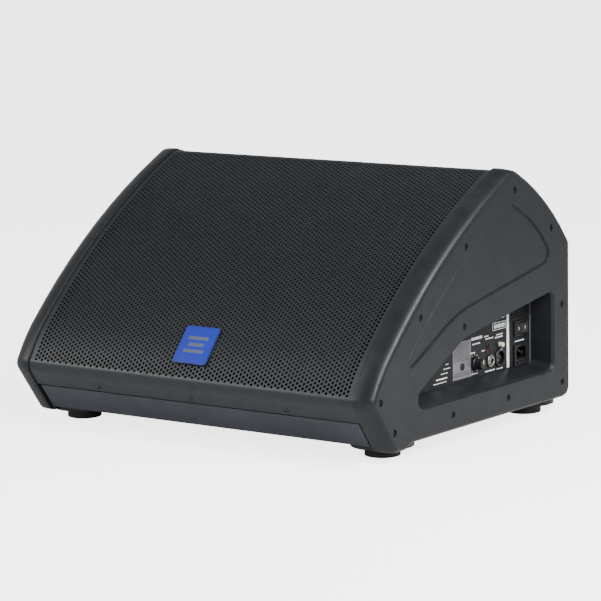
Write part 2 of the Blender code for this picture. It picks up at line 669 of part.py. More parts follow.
def build_amplifier(panel_paint, black, nickel, aluminium, board_green, copper, cap_beige, lamp):
    """The amplifier panel in the right pocket, its controls and sockets, and what is behind it."""
    face = PANEL_FACE_X
    back = PANEL_FACE_X - PANEL_SHEET
    panel = place("amp_panel", prism_x(
        [(-133.0, 56.0), (-133.0, 169.0), (193.0, 169.0), (193.0, 56.0)], back, face), panel_paint)
    holes = []
    for (y, z), radius in ((KNOB, 3.9), (JACK, 6.0), (XLR, 10.4), (LIFT_BUTTON, 3.7), (MODE_BUTTON, 3.2)):
        holes.append(facing_x(rod(radius, back - 5.0, face + 5.0, 16), y=y, z=z))
    for y, z in LEDS.values():
        holes.append(facing_x(rod(1.7, back - 5.0, face + 5.0, 8), y=y, z=z))
    for (y, z), half_y, below, above in ((ROCKER, 14.6, 8.6, 8.6), (INLET, 13.6, 16.3, 9.8)):
        holes.append(block(back - 5.0, face + 5.0, y - half_y, y + half_y, z - below, z + above))
    cut(panel, together(holes), "amp_panel_holes")

    def on_panel(name, profile, place_yz, material, segments=20):
        """A turned fitting whose axis is normal to the panel, with its origin on the panel's face."""
        mesh = facing_x(turned(profile, segments))
        return place(name, mesh, material, (face, *place_yz))

    on_panel("jack_socket", [
        (3.3, 4.0), (3.3, -22.0), (0.0, -22.0), (0.0, -26.0), (7.5, -26.0), (7.5, -5.0), (5.6, -5.0),
        (5.6, GAP), (8.0, GAP), (8.0, 2.2), (6.6, 2.6), (5.4, 4.0)], JACK, nickel)
    xlr = on_panel("xlr_socket", [
        (8.7, 2.4), (8.7, -15.0), (0.0, -15.0), (0.0, -20.0), (10.0, -20.0), (10.0, GAP), (12.0, GAP),
        (12.0, 2.0), (11.4, 2.4)], XLR, black, 24)
    cut(xlr, block(GAP + 0.7, 5.0, -3.2, 3.2, 9.0, 14.0), "xlr_socket_notch")
    place("xlr_latch", block(GAP + 1.0, 3.2, -2.9, 2.9, 10.2, 12.6), nickel, (face, *XLR))
    on_panel("volume_pot", [
        (3.05, 5.0), (3.05, -9.0), (0.0, -9.0), (0.0, -14.0), (9.0, -14.0), (9.0, -4.0), (3.6, -4.0),
        (3.6, 5.0)], KNOB, nickel)
    on_panel("volume_shaft", [(0.0, -8.5), (3.0, -8.5), (3.0, 11.0), (0.0, 11.0)], KNOB, aluminium, 16)
    knob = on_panel("volume_knob", [
        (4.2, 1.2), (8.2, 1.2), (8.2, 3.0), (7.2, 4.0), (6.6, 13.0), (5.8, 14.0), (0.0, 14.0),
        (0.0, 11.4), (3.3, 11.4), (3.3, 6.0), (4.2, 6.0)], KNOB, black, 20)
    cut(knob, block(13.2, 16.0, -0.6, 0.6, 1.0, 9.0), "volume_knob_mark")

    for name, spot, bore, radius, proud in (
            ("lift", LIFT_BUTTON, 3.3, 4.8, 7.0), ("mode", MODE_BUTTON, 2.8, 4.2, 2.4)):
        on_panel(name + "_bezel", [
            (bore, 1.2), (bore, -9.0), (0.0, -9.0), (0.0, -12.0), (bore + 3.0, -12.0), (bore + 3.0, -3.0),
            (bore + 0.3, -3.0), (bore + 0.3, GAP), (radius, GAP), (radius - 0.4, 1.2)], spot, black, 16)
        cap = cap_beige if name == "lift" else black
        on_panel(name + "_button", [
            (0.0, -4.0), (bore - 0.2, -4.0), (bore - 0.2, proud - 0.6), (bore - 0.8, proud), (0.0, proud)],
            spot, cap, 16)
    for name, spot in LEDS.items():
        on_panel(name, [(0.0, -3.0), (1.4, -3.0), (1.4, 0.6), (0.9, 1.3), (0.0, 1.5)], spot, lamp, 10)

    bezel = place("rocker_bezel", block(GAP, 2.4, -16.0, 16.0, -10.0, 10.0), black, (face, *ROCKER))
    join(bezel, block(-16.0, 1.0, -14.3, 14.3, -8.3, 8.3), "rocker_bezel_body")
    cut(bezel, block(-12.0, 5.0, -13.3, 13.3, -7.2, 7.2), "rocker_bezel_window")
    profile = [(-3.0, -6.0), (1.0, -11.6), (4.0, -11.6), (2.4, 0.0), (4.0, 11.6), (1.0, 11.6), (-3.0, 6.0)]
    paddle = bmesh.new()
    turn = Matrix.Rotation(-ROCKER_TILT, 2)
    outline = [turn @ Vector(point) for point in profile]
    low = [vertex(paddle, x, y, -6.8) for x, y in outline]
    high = [vertex(paddle, x, y, 6.8) for x, y in outline]
    for index in range(len(outline)):
        following = (index + 1) % len(outline)
        paddle.faces.new((low[index], low[following], high[following], high[index]))
    paddle.faces.new(low[::-1])
    paddle.faces.new(high)
    if paddle.calc_volume(signed=True) < 0.0:
        bmesh.ops.reverse_faces(paddle, faces=paddle.faces)
    place("power_rocker", paddle, black, (face, *ROCKER))

    inlet = place("mains_inlet", block(GAP, 2.4, -16.0, 16.0, -16.6, 11.0), black, (face, *INLET))
    join(inlet, block(-24.0, 1.0, -13.3, 13.3, -16.0, 9.5), "mains_inlet_body")
    well = [(-12.0, -8.0), (-12.0, 3.5), (-7.5, 8.0), (7.5, 8.0), (12.0, 3.5), (12.0, -8.0)]
    cut(inlet, prism_x(well, -18.0, 6.0), "mains_inlet_well")
    cut(inlet, block(-21.0, 6.0, -10.6, 10.6, -15.2, -11.2), "mains_inlet_drawer_room")
    for name, y, z in (("pin_line", -7.0, -1.5), ("pin_neutral", 7.0, -1.5), ("pin_earth", 0.0, 2.5)):
        place(name, block(-17.7, -1.5, y - 1.0, y + 1.0, z - 2.0, z + 2.0), nickel, (face, *INLET))
    place("fuse_drawer", block(-20.0, 3.4, -10.3, 10.3, -14.9, -11.5), black, (face, *INLET))

    base = prism_x([(-92.0, 82.0), (-92.0, 90.0), (-36.0, 118.0), (24.0, 128.0), (24.0, 82.0)],
                   251.0, back - GAP)
    heat_sink = place("heat_sink", base, aluminium)
    for index in range(6):
        y = -84.0 + 20.0 * index
        fin = block(212.0, 253.0, y, y + 3.0, 84.0, 88.0 + 0.24 * (y + 92.0))
        join(heat_sink, fin, f"heat_sink_fin_{index}")
    place("amp_board", block(224.0, 225.6, 34.0, 172.0, 80.0, 150.0), board_green)
    place("mains_transformer", turned([
        (16.0, 35.0), (44.0, 35.0), (46.0, 38.0), (46.0, 66.0), (44.0, 69.0), (16.0, 69.0)], 28),
        copper, (140.0, 120.0, 0.0))


def build_hand_pocket(plastic):
    """The tray behind the left cheek's opening, which hides the plywood and gives a hand hold."""
    steps = [arc_steps(radius) for _, _, radius in POCKET_OUTLINE]

    def ring(extra):
        return rounded(inset(POCKET_OUTLINE, [depth + extra for depth in POCKET_INSETS]), steps)

    tray = place("hand_pocket", mirrored_x(loft_x([
        (POCKET_FLOOR_X, ring(4.0)), (CHEEK_INNER_X - GAP, ring(1.0)),
        (PANEL_FACE_X - GAP, ring(1.0))])), plastic)
    inside = loft_x([(POCKET_FLOOR_X + 3.0, ring(7.0)), (PANEL_FACE_X + 5.0, ring(4.0))])
    cut(tray, mirrored_x(inside), "hand_pocket_inside")
    flange = prism_x([(-133.0, 56.0), (-133.0, 169.0), (193.0, 169.0), (193.0, 56.0)],
                     CHEEK_INNER_X, PANEL_FACE_X)
    join(tray, mirrored_x(flange), "hand_pocket_flange")
    cut(tray, mirrored_x(prism_x(ring(3.0), CHEEK_INNER_X - 4.0, PANEL_FACE_X + 5.0)), "hand_pocket_mouth")


clear_scene()
cheek_plastic = make_material("cheek_plastic", (0.035, 0.038, 0.042), 0.45)
box_paint = make_material("box_paint", (0.03, 0.031, 0.036), 0.6)
plywood = make_material("plywood", (0.42, 0.29, 0.17), 0.7)
grille_steel = make_material("grille_steel", (0.03, 0.03, 0.033), 0.5, 0.3)
black_foam = make_material("black_foam", (0.008, 0.008, 0.008), 1.0)
badge_enamel = make_material("badge_enamel", (0.05, 0.09, 0.42), 0.35)
black_rubber = make_material("black_rubber", (0.015, 0.015, 0.016), 0.8)
black_screw = make_material("black_screw", (0.02, 0.02, 0.022), 0.4, 0.8)
cast_paint = make_material("cast_paint", (0.02, 0.02, 0.02), 0.5)
cone_paper = make_material("cone_paper", (0.03, 0.028, 0.027), 0.9)
ferrite = make_material("ferrite", (0.05, 0.05, 0.055), 0.7)
zinc_steel = make_material("zinc_steel", (0.6, 0.6, 0.58), 0.35, 1.0)
winding_copper = make_material("winding_copper", (0.7, 0.32, 0.16), 0.35, 1.0)
black_plastic = make_material("black_plastic", (0.015, 0.015, 0.017), 0.35)
panel_enamel = make_material("panel_enamel", (0.02, 0.021, 0.024), 0.5)
nickel_plate = make_material("nickel_plate", (0.65, 0.62, 0.56), 0.25, 1.0)
bare_aluminium = make_material("bare_aluminium", (0.7, 0.7, 0.72), 0.35, 1.0)
board_resin = make_material("board_resin", (0.03, 0.18, 0.07), 0.5)
beige_cap = make_material("beige_cap", (0.72, 0.6, 0.47), 0.4)
red_lamp = make_material("red_lamp", (0.5, 0.02, 0.02), 0.2)

for cheek_side in (1, -1):
    build_cheek(cheek_side, cheek_plastic)
build_box(box_paint, plywood)
build_front(grille_steel, black_foam, badge_enamel, black_screw)
build_feet(black_rubber, black_screw)
build_driver(cast_paint, cone_paper, black_rubber, ferrite, zinc_steel, winding_copper, black_plastic)
build_amplifier(panel_enamel, black_plastic, nickel_plate, bare_aluminium, board_resin, winding_copper,
                beige_cap, red_lamp)
build_hand_pocket(black_plastic)
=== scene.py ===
# %% [markdown]
# # A stage monitor wedge
# The solids of this loudspeaker are already designed: two moulded cheeks, a plywood box between them, a
# curved steel grille, an amplifier panel in a side pocket, and the loudspeaker inside. This lesson dresses
# them: it gives the small edges their rounding, the grille its holes, and every surface its finish.

# %% Load the frame
import json
import math

import bmesh
import bpy
from mathutils import Matrix, Vector

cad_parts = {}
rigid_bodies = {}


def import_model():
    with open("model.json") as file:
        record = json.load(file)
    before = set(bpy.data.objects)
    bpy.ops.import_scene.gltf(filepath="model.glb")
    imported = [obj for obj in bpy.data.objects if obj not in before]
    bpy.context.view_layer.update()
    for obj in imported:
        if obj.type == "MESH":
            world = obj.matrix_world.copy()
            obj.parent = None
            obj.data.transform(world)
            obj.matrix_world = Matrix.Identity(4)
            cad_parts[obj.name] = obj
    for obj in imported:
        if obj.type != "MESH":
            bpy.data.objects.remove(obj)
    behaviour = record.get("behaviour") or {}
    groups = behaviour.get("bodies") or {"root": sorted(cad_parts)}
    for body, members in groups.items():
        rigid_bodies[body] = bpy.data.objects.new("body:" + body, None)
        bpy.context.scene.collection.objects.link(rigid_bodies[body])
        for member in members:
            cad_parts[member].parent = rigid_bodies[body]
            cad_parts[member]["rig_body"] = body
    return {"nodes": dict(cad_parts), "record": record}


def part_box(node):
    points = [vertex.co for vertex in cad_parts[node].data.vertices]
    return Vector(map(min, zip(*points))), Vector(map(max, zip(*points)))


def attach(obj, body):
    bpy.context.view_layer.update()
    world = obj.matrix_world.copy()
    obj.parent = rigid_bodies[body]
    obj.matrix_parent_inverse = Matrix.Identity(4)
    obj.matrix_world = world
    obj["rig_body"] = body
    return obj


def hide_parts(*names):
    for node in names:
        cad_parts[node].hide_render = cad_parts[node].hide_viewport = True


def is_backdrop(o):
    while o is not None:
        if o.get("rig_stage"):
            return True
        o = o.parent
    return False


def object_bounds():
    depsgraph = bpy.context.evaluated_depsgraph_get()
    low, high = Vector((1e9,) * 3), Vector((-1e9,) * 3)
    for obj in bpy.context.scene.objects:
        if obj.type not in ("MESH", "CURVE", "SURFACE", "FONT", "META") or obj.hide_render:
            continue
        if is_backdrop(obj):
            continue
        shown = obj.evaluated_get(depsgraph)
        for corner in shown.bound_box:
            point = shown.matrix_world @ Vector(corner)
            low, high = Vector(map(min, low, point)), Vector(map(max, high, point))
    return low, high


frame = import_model()
cad_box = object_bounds()
nodes = frame["nodes"]
slot_of = {row["node"]: row["material_slot"] for row in frame["record"]["subparts"]}
MM = 0.001
print("nodes", len(nodes), "box", [round(v, 3) for corner in cad_box for v in corner])

# %% [markdown]
# ## The camera
# A floor monitor is best seen from a little above, from the performer's side and past its amplifier end.
# A long lens from about four metres keeps the edges nearly parallel. The camera is turned with three
# plain angles, so each of them can be changed alone.

# %% Camera
CAMERA_PLACE = (2.3335, -3.1479, 0.7714)
CAMERA_TURN = math.radians(36.365)
CAMERA_DOWN = math.radians(8.935)
CAMERA_ROLL = math.radians(-0.98)
CAMERA_LENS = 180.4

forward = Vector((-math.sin(CAMERA_TURN) * math.cos(CAMERA_DOWN),
                  math.cos(CAMERA_TURN) * math.cos(CAMERA_DOWN), -math.sin(CAMERA_DOWN)))
level = Vector((math.cos(CAMERA_TURN), math.sin(CAMERA_TURN), 0.0))
upright = level.cross(forward)
right = math.cos(CAMERA_ROLL) * level + math.sin(CAMERA_ROLL) * upright
up = math.cos(CAMERA_ROLL) * upright - math.sin(CAMERA_ROLL) * level
camera = bpy.data.objects.new("camera", bpy.data.cameras.new("camera"))
camera.data.lens = CAMERA_LENS
camera.matrix_world = Matrix.Translation(CAMERA_PLACE) @ Matrix((right, up, -forward)).transposed().to_4x4()
bpy.context.scene.collection.objects.link(camera)
bpy.context.scene.camera = camera
print("camera", tuple(round(v, 2) for v in CAMERA_PLACE))

# %% [markdown]
# ## Shared surface effects
# Moulded plastic, powder coat and rubber all have a fine grain, handling marks and a little dust. Each
# effect is a node group with named inputs, built once and placed in each finish with its own values. The
# groups put out only masks and heights, and the shader stays in the material.

# %% Node group helpers
def new_group(name, inputs, outputs):
    """An empty shader node group with float sockets, and its input and output nodes."""
    group = bpy.data.node_groups.new(name, "ShaderNodeTree")
    for label, value in inputs.items():
        socket = group.interface.new_socket(name=label, in_out="INPUT", socket_type="NodeSocketFloat")
        socket.default_value = value
    for label in outputs:
        group.interface.new_socket(name=label, in_out="OUTPUT", socket_type="NodeSocketFloat")
    return group, group.nodes.new("NodeGroupInput"), group.nodes.new("NodeGroupOutput")


def add_node(tree, kind, **settings):
    """A node of one kind, with its settings and its named or numbered input values."""
    node = tree.nodes.new("ShaderNode" + kind)
    for key, value in settings.items():
        if key == "values":
            for socket, amount in value.items():
                node.inputs[socket].default_value = amount
        else:
            setattr(node, key, value)
    return node


def math_node(tree, operation, first, second=None):
    """A Math node whose inputs are sockets or numbers."""
    node = add_node(tree, "Math", operation=operation)
    for index, value in enumerate((first, second)):
        if isinstance(value, (int, float)):
            node.inputs[index].default_value = value
        elif value is not None:
            tree.links.new(value, node.inputs[index])
    return node.outputs[0]


def between(tree, value, low, high):
    """A Map Range that takes low to 0 and high to 1, and clamps."""
    node = add_node(tree, "MapRange", values={"From Min": low, "From Max": high})
    tree.links.new(value, node.inputs["Value"])
    return node.outputs["Result"]


print("helpers", ", ".join(helper.__name__ for helper in (new_group, add_node, math_node, between)))

# %% [markdown]
# ### Grain
# A moulded surface is a field of small rounded pebbles. Fine noise gives the pebbles, and a broader noise
# keeps the field from looking printed. The height goes to a Bump node. The shade output is painted shade:
# it darkens the colour in the pebbles' hollows, and the broader noise adds a random tone.

# %% Grain group
def build_grain():
    """Pebbled grain: a height for the bump, and a shade for the colour that is painted shade in the hollows
    plus a random tone.
    """
    group, given, result = new_group("surface_grain", {"Scale": 900.0, "Detail": 3.0}, ("Height", "Shade"))
    place = add_node(group, "TexCoord")
    fine = add_node(group, "TexNoise", values={"Roughness": 0.55})
    group.links.new(place.outputs["Object"], fine.inputs["Vector"])
    group.links.new(given.outputs["Scale"], fine.inputs["Scale"])
    group.links.new(given.outputs["Detail"], fine.inputs["Detail"])
    broad = add_node(group, "TexNoise", values={"Detail": 4.0})
    group.links.new(place.outputs["Object"], broad.inputs["Vector"])
    group.links.new(math_node(group, "MULTIPLY", given.outputs["Scale"], 0.035), broad.inputs["Scale"])
    swell = math_node(group, "MULTIPLY", broad.outputs["Fac"], 0.3)
    group.links.new(math_node(group, "ADD", fine.outputs["Fac"], swell), result.inputs["Height"])
    # The shade comes from the same noises as the height, so the colour is painted darker in the hollows as
    # shade.
    mixed = math_node(group, "ADD", between(group, fine.outputs["Fac"], 0.35, 0.65),
                      between(group, broad.outputs["Fac"], 0.3, 0.7))
    group.links.new(math_node(group, "MULTIPLY", mixed, 0.5), result.inputs["Shade"])
    return group


grain_group = build_grain()
print("group", grain_group.name)

# %% [markdown]
# ### Handling marks and dust
# Stage gear is carried by its ends and slid across floors, so it has thin scuffs. A stretched noise,
# cut high, leaves short fine lines. Dust settles on what faces up, so its mask starts from the normal.

# %% Scuff and dust groups
def build_scuffs():
    """Short fine marks: a mask from two stretched noises, broken up by a third."""
    group, given, result = new_group("handling_scuffs", {"Scale": 40.0, "Amount": 0.3}, ("Mask",))
    place = add_node(group, "TexCoord")
    masks = []
    for turn in (0.5, -0.9):
        mapping = add_node(group, "Mapping")
        mapping.inputs["Rotation"].default_value = (turn, 0.4, turn * 0.5)
        mapping.inputs["Scale"].default_value = (1.0, 14.0, 1.0)
        group.links.new(place.outputs["Object"], mapping.inputs["Vector"])
        lines = add_node(group, "TexNoise", values={"Detail": 3.0})
        group.links.new(mapping.outputs["Vector"], lines.inputs["Vector"])
        group.links.new(given.outputs["Scale"], lines.inputs["Scale"])
        masks.append(between(group, lines.outputs["Fac"], 0.66, 0.74))
    patches = add_node(group, "TexNoise", values={"Scale": 9.0, "Detail": 2.0})
    group.links.new(place.outputs["Object"], patches.inputs["Vector"])
    lines = math_node(group, "MAXIMUM", masks[0], masks[1])
    broken = math_node(group, "MULTIPLY", lines, between(group, patches.outputs["Fac"], 0.45, 0.65))
    group.links.new(math_node(group, "MULTIPLY", broken, given.outputs["Amount"]), result.inputs["Mask"])
    return group


def build_dust():
    """Dust on faces that look up: a mask from the normal's height and a cloudy noise."""
    group, given, result = new_group("settled_dust", {"Amount": 0.1}, ("Mask",))
    surface = add_node(group, "NewGeometry")
    axes = add_node(group, "SeparateXYZ")
    group.links.new(surface.outputs["Normal"], axes.inputs["Vector"])
    place = add_node(group, "TexCoord")
    cloud = add_node(group, "TexNoise", values={"Scale": 22.0, "Detail": 6.0})
    group.links.new(place.outputs["Object"], cloud.inputs["Vector"])
    faces_up = between(group, axes.outputs["Z"], 0.2, 1.0)
    patchy = math_node(group, "MULTIPLY", faces_up, between(group, cloud.outputs["Fac"], 0.3, 0.75))
    group.links.new(math_node(group, "MULTIPLY", patchy, given.outputs["Amount"]), result.inputs["Mask"])
    return group


scuff_group = build_scuffs()
dust_group = build_dust()
print("groups", scuff_group.name, dust_group.name)

# %% [markdown]
# ## Finishes
# Each finish starts from the same recipe: a base colour that the grain mottles and darkens in its hollows as
# painted shade, a roughness that varies with it, a bump, and then scuffs and dust over the top. What makes
# one plastic and another powder coat is the size of the grain, its depth and the gloss.

# %% The recipe
DUST_COLOUR = (0.30, 0.29, 0.27, 1.0)


def mix_colour(tree, factor, first, second):
    """A colour Mix node; the inputs are sockets or colours."""
    node = add_node(tree, "Mix", data_type="RGBA")
    for name, value in ((0, factor), (6, first), (7, second)):
        if isinstance(value, bpy.types.NodeSocket):
            tree.links.new(value, node.inputs[name])
        else:
            node.inputs[name].default_value = value
    return node.outputs[2]


def finish(name, colour, roughness, grain, depth, metallic=0.0, contrast=0.25, scuffs=0.0, dust=0.0,
           specular=0.5, coat=0.0):
    """A finish with grain, scuffs and dust. Grain is the pebble size in millimetres, depth in microns."""
    material = bpy.data.materials.new(name)
    material.use_nodes = True
    tree = material.node_tree
    shader = tree.nodes["Principled BSDF"]
    shader.inputs["Metallic"].default_value = metallic
    shader.inputs["Specular IOR Level"].default_value = specular
    shader.inputs["Coat Weight"].default_value = coat
    pebbles = add_node(tree, "Group", node_tree=grain_group, values={"Scale": 1000.0 / grain})
    # The dark end is painted shade in the pebbles' hollows, mixed with a random tone; contrast sets how
    # strong it is.
    dark = tuple(c * (1.0 - contrast) for c in colour) + (1.0,)
    light = tuple(c * (1.0 + contrast) for c in colour) + (1.0,)
    shade = mix_colour(tree, pebbles.outputs["Shade"], dark, light)
    polish = math_node(tree, "MULTIPLY", pebbles.outputs["Shade"], -0.12)
    rough = math_node(tree, "ADD", polish, roughness + 0.06)
    if scuffs:
        marks = add_node(tree, "Group", node_tree=scuff_group, values={"Amount": scuffs})
        pale = tuple(min(1.0, c * 2.0 + 0.006) for c in colour) + (1.0,)
        shade = mix_colour(tree, marks.outputs["Mask"], shade, pale)
        rough = math_node(tree, "ADD", rough, math_node(tree, "MULTIPLY", marks.outputs["Mask"], 0.25))
    if dust:
        veil = add_node(tree, "Group", node_tree=dust_group, values={"Amount": dust})
        shade = mix_colour(tree, veil.outputs["Mask"], shade, DUST_COLOUR)
        rough = math_node(tree, "ADD", rough, math_node(tree, "MULTIPLY", veil.outputs["Mask"], 0.3))
    tree.links.new(shade, shader.inputs["Base Color"])
    tree.links.new(rough, shader.inputs["Roughness"])
    bump = add_node(tree, "Bump", values={"Strength": 1.0, "Distance": depth * 1e-6})
    tree.links.new(pebbles.outputs["Height"], bump.inputs["Height"])
    tree.links.new(bump.outputs["Normal"], shader.inputs["Normal"])
    return material


print("dust colour", DUST_COLOUR[:3])

# %% [markdown]
# The values are what the maker would specify: a pebble size and a depth for the tool's texture, and the
# gloss of the moulding, powder or plate.

# %% Finishes of this loudspeaker
finishes = {
    "cheek_plastic": finish("cheek_plastic", (0.0098, 0.0112, 0.0125), 0.36, 0.8, 45, scuffs=0.08, dust=0.04,
                            specular=0.27),
    "box_paint": finish("box_paint", (0.0235, 0.0270, 0.0370), 0.52, 1.3, 120, scuffs=0.15, dust=0.05,
                        specular=0.50),
    "grille_steel": finish("grille_steel", (0.0150, 0.0174, 0.0194), 0.38, 0.5, 14, dust=0.02,
                           specular=0.30),
    "badge_enamel": finish("badge_enamel", (0.021, 0.036, 0.34), 0.50, 0.6, 5, contrast=0.08,
                           specular=0.12),
    "black_rubber": finish("black_rubber", (0.016, 0.016, 0.017), 0.72, 0.6, 40, scuffs=0.4, dust=0.12),
    "black_screw": finish("black_screw", (0.05, 0.05, 0.053), 0.30, 0.4, 6, metallic=0.9, scuffs=0.4),
    "cast_paint": finish("cast_paint", (0.018, 0.018, 0.019), 0.50, 2.2, 160),
    "ferrite": finish("ferrite", (0.050, 0.050, 0.056), 0.68, 0.7, 25),
    "zinc_steel": finish("zinc_steel", (0.60, 0.59, 0.56), 0.34, 3.0, 6, metallic=1.0, contrast=0.15),
    "black_plastic": finish("black_plastic", (0.0085, 0.0085, 0.0095), 0.34, 0.4, 12, scuffs=0.12, dust=0.03,
                            specular=0.35),
    "panel_enamel": finish("panel_enamel", (0.0080, 0.0088, 0.0098), 0.46, 0.6, 22, scuffs=0.12, dust=0.03,
                           specular=0.22),
    "nickel_plate": finish("nickel_plate", (0.33, 0.31, 0.27), 0.26, 1.2, 3, metallic=1.0, contrast=0.12),
    "bare_aluminium": finish("bare_aluminium", (0.70, 0.70, 0.72), 0.36, 0.5, 8, metallic=1.0, contrast=0.1),
    "board_resin": finish("board_resin", (0.025, 0.15, 0.06), 0.42, 1.5, 10, coat=0.2),
    "beige_cap": finish("beige_cap", (0.70, 0.58, 0.45), 0.38, 0.5, 5, contrast=0.06),
    "red_lamp": finish("red_lamp", (0.11, 0.012, 0.012), 0.16, 0.8, 2, contrast=0.1, coat=0.6),
}
white_print = finish("white_print", (0.62, 0.62, 0.60), 0.55, 0.3, 4, contrast=0.12)
bright_print = finish("bright_print", (0.88, 0.89, 0.91), 0.45, 0.3, 4, contrast=0.05)
badge_print = finish("badge_print", (0.085, 0.105, 0.165), 0.50, 0.3, 3, contrast=0.06, specular=0.2)
label_plate = finish("label_plate", (0.22, 0.22, 0.23), 0.40, 0.5, 6, metallic=0.6, scuffs=0.2)
dark_print = finish("dark_print", (0.035, 0.035, 0.037), 0.50, 0.3, 3, contrast=0.1)
badge_border = finish("badge_border", (0.016, 0.026, 0.12), 0.40, 0.5, 4, specular=0.3)
print("finishes", len(finishes))

# %% [markdown]
# ### Foam, plywood, winding and cone paper
# Four materials have a structure of their own. Foam is open cells, so a Voronoi pattern sinks its pores.
# Plywood shows long grain, a winding is parallel turns, and paper is pressed fibre: each is a stretched
# or banded texture over the same kind of shader. The colour is darker wherever the texture is lower: in the
# foam's pores and in the gaps between the winding's turns that darkness is painted shade, and in the plywood
# and the paper it is the grain's and the fibre's own tone.

# %% Structured finishes
def structured(name, low, high, roughness, depth, texture, mapping_scale, metallic=0.0):
    """A finish whose colour and height both come from one texture in object coordinates, so the colour is
    darker where the surface is lower.
    """
    material = bpy.data.materials.new(name)
    material.use_nodes = True
    tree = material.node_tree
    shader = tree.nodes["Principled BSDF"]
    shader.inputs["Roughness"].default_value = roughness
    shader.inputs["Metallic"].default_value = metallic
    place = add_node(tree, "TexCoord")
    mapping = add_node(tree, "Mapping")
    mapping.inputs["Scale"].default_value = mapping_scale
    tree.links.new(place.outputs["Object"], mapping.inputs["Vector"])
    pattern = add_node(tree, texture[0], **texture[1])
    tree.links.new(mapping.outputs["Vector"], pattern.inputs["Vector"])
    value = between(tree, pattern.outputs[texture[2]], 0.15, 0.75)
    shade = mix_colour(tree, value, (*low, 1.0), (*high, 1.0))
    tree.links.new(shade, shader.inputs["Base Color"])
    bump = add_node(tree, "Bump", values={"Distance": depth * 1e-6})
    tree.links.new(value, bump.inputs["Height"])
    tree.links.new(bump.outputs["Normal"], shader.inputs["Normal"])
    return material


# The foam's sunk pores are painted darker than their walls: painted shade in the pores.
finishes["black_foam"] = structured(
    "black_foam", (0.002, 0.002, 0.002), (0.020, 0.020, 0.021), 0.95, 500,
    ("TexVoronoi", {"values": {"Scale": 1.0}}, "Distance"), (700.0, 700.0, 700.0))
finishes["plywood"] = structured(
    "plywood", (0.30, 0.19, 0.10), (0.52, 0.37, 0.22), 0.62, 60,
    ("TexNoise", {"values": {"Scale": 1.0, "Detail": 6.0}}, "Fac"), (120.0, 6.0, 90.0))
finishes["cone_paper"] = structured(
    "cone_paper", (0.016, 0.015, 0.014), (0.045, 0.042, 0.040), 0.85, 80,
    ("TexNoise", {"values": {"Scale": 1.0, "Detail": 8.0}}, "Fac"), (260.0, 900.0, 260.0))
# The low gaps between the winding's turns are painted darker: painted shade between the turns.
finishes["winding_copper"] = structured(
    "winding_copper", (0.35, 0.14, 0.06), (0.75, 0.36, 0.18), 0.34, 120,
    ("TexWave", {"values": {"Scale": 1.0, "Distortion": 0.6}}, "Fac"), (150.0, 150.0, 150.0), metallic=0.9)
print("structured finishes added, now", len(finishes))

# %% [markdown]
# ## Dressing the frame
# Every node first takes its finish, even where a better piece replaces it later, so nothing is ever left
# plain. A node keeps its solid here: only its material slot changes. The baffle is plywood sprayed flat
# black, so that nothing pale shows through the grille.

# %% Finish every node
finishes["baffle_black"] = finish("baffle_black", (0.004, 0.004, 0.004), 0.75, 1.3, 90, specular=0.2)
FINISH_OF_NODE = dict(slot_of, baffle="baffle_black")
for node, solid in nodes.items():
    if not solid.data.materials:
        solid.data.materials.append(finishes[FINISH_OF_NODE[node]])
    for place in solid.material_slots:
        place.material = finishes[FINISH_OF_NODE[node]]
print("dressed", len(nodes), "nodes")

# %% [markdown]
# ## Pieces
# A new piece is a bmesh until it is done. One helper turns it into an object, gives it its finish,
# puts it on the body that carries it and hides the nodes it stands for.

# %% Turn a shape into a piece
SMOOTH_ANGLE = math.radians(32.0)


def make_piece(name, shape, material, replaces=(), body=None, smooth=SMOOTH_ANGLE):
    """Link a finished bmesh as a piece that rides on a body and stands for the nodes it replaces."""
    mesh = bpy.data.meshes.new(name)
    shape.to_mesh(mesh)
    shape.free()
    mesh.materials.append(material)
    mesh.shade_smooth()
    mesh.set_sharp_from_angle(angle=smooth)
    piece = bpy.data.objects.new(name, mesh)
    bpy.context.scene.collection.objects.link(piece)
    if replaces:
        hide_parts(*replaces)
        body = nodes[replaces[0]]["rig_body"]
    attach(piece, body or "root")
    return piece


def absorb(target, shape):
    """Add one shape to another and free it."""
    carrier = bpy.data.meshes.new("carrier")
    shape.to_mesh(carrier)
    shape.free()
    target.from_mesh(carrier)
    bpy.data.meshes.remove(carrier)


def centre_of(node):
    """The middle of a node's box, in millimetres."""
    low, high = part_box(node)
    return (low + high) / 2.0 / MM


print("the amplifier panel is centred at", [round(v, 1) for v in centre_of("amp_panel")], "mm")

# %% [markdown]
# ### Softened edges
# No moulding or cut sheet has a knife edge: each edge has a small radius that catches a line of light.
# The frame's solids are sharp, so a copy is merged, its flat faces are made whole again, and a Bevel
# modifier rounds what is left. A Weighted Normal modifier then keeps the large faces flat in the shading.

# %% Soften a node
EDGE_SEGMENTS = 2


def softened(node, radius):
    """A piece made from a node's solid, with its sharp edges rounded to a radius in millimetres."""
    shape = bmesh.new()
    shape.from_mesh(nodes[node].data)
    bmesh.ops.remove_doubles(shape, verts=shape.verts, dist=1e-6)
    bmesh.ops.dissolve_limit(shape, angle_limit=math.radians(0.5), verts=shape.verts, edges=shape.edges)
    piece = make_piece(node + "_moulding", shape, finishes[slot_of[node]], (node,))
    bevel = piece.modifiers.new("edge_radius", "BEVEL")
    bevel.width = radius * MM
    bevel.segments = EDGE_SEGMENTS
    bevel.limit_method = "ANGLE"
    bevel.angle_limit = SMOOTH_ANGLE
    weighted = piece.modifiers.new("flat_faces", "WEIGHTED_NORMAL")
    weighted.keep_sharp = True
    return piece


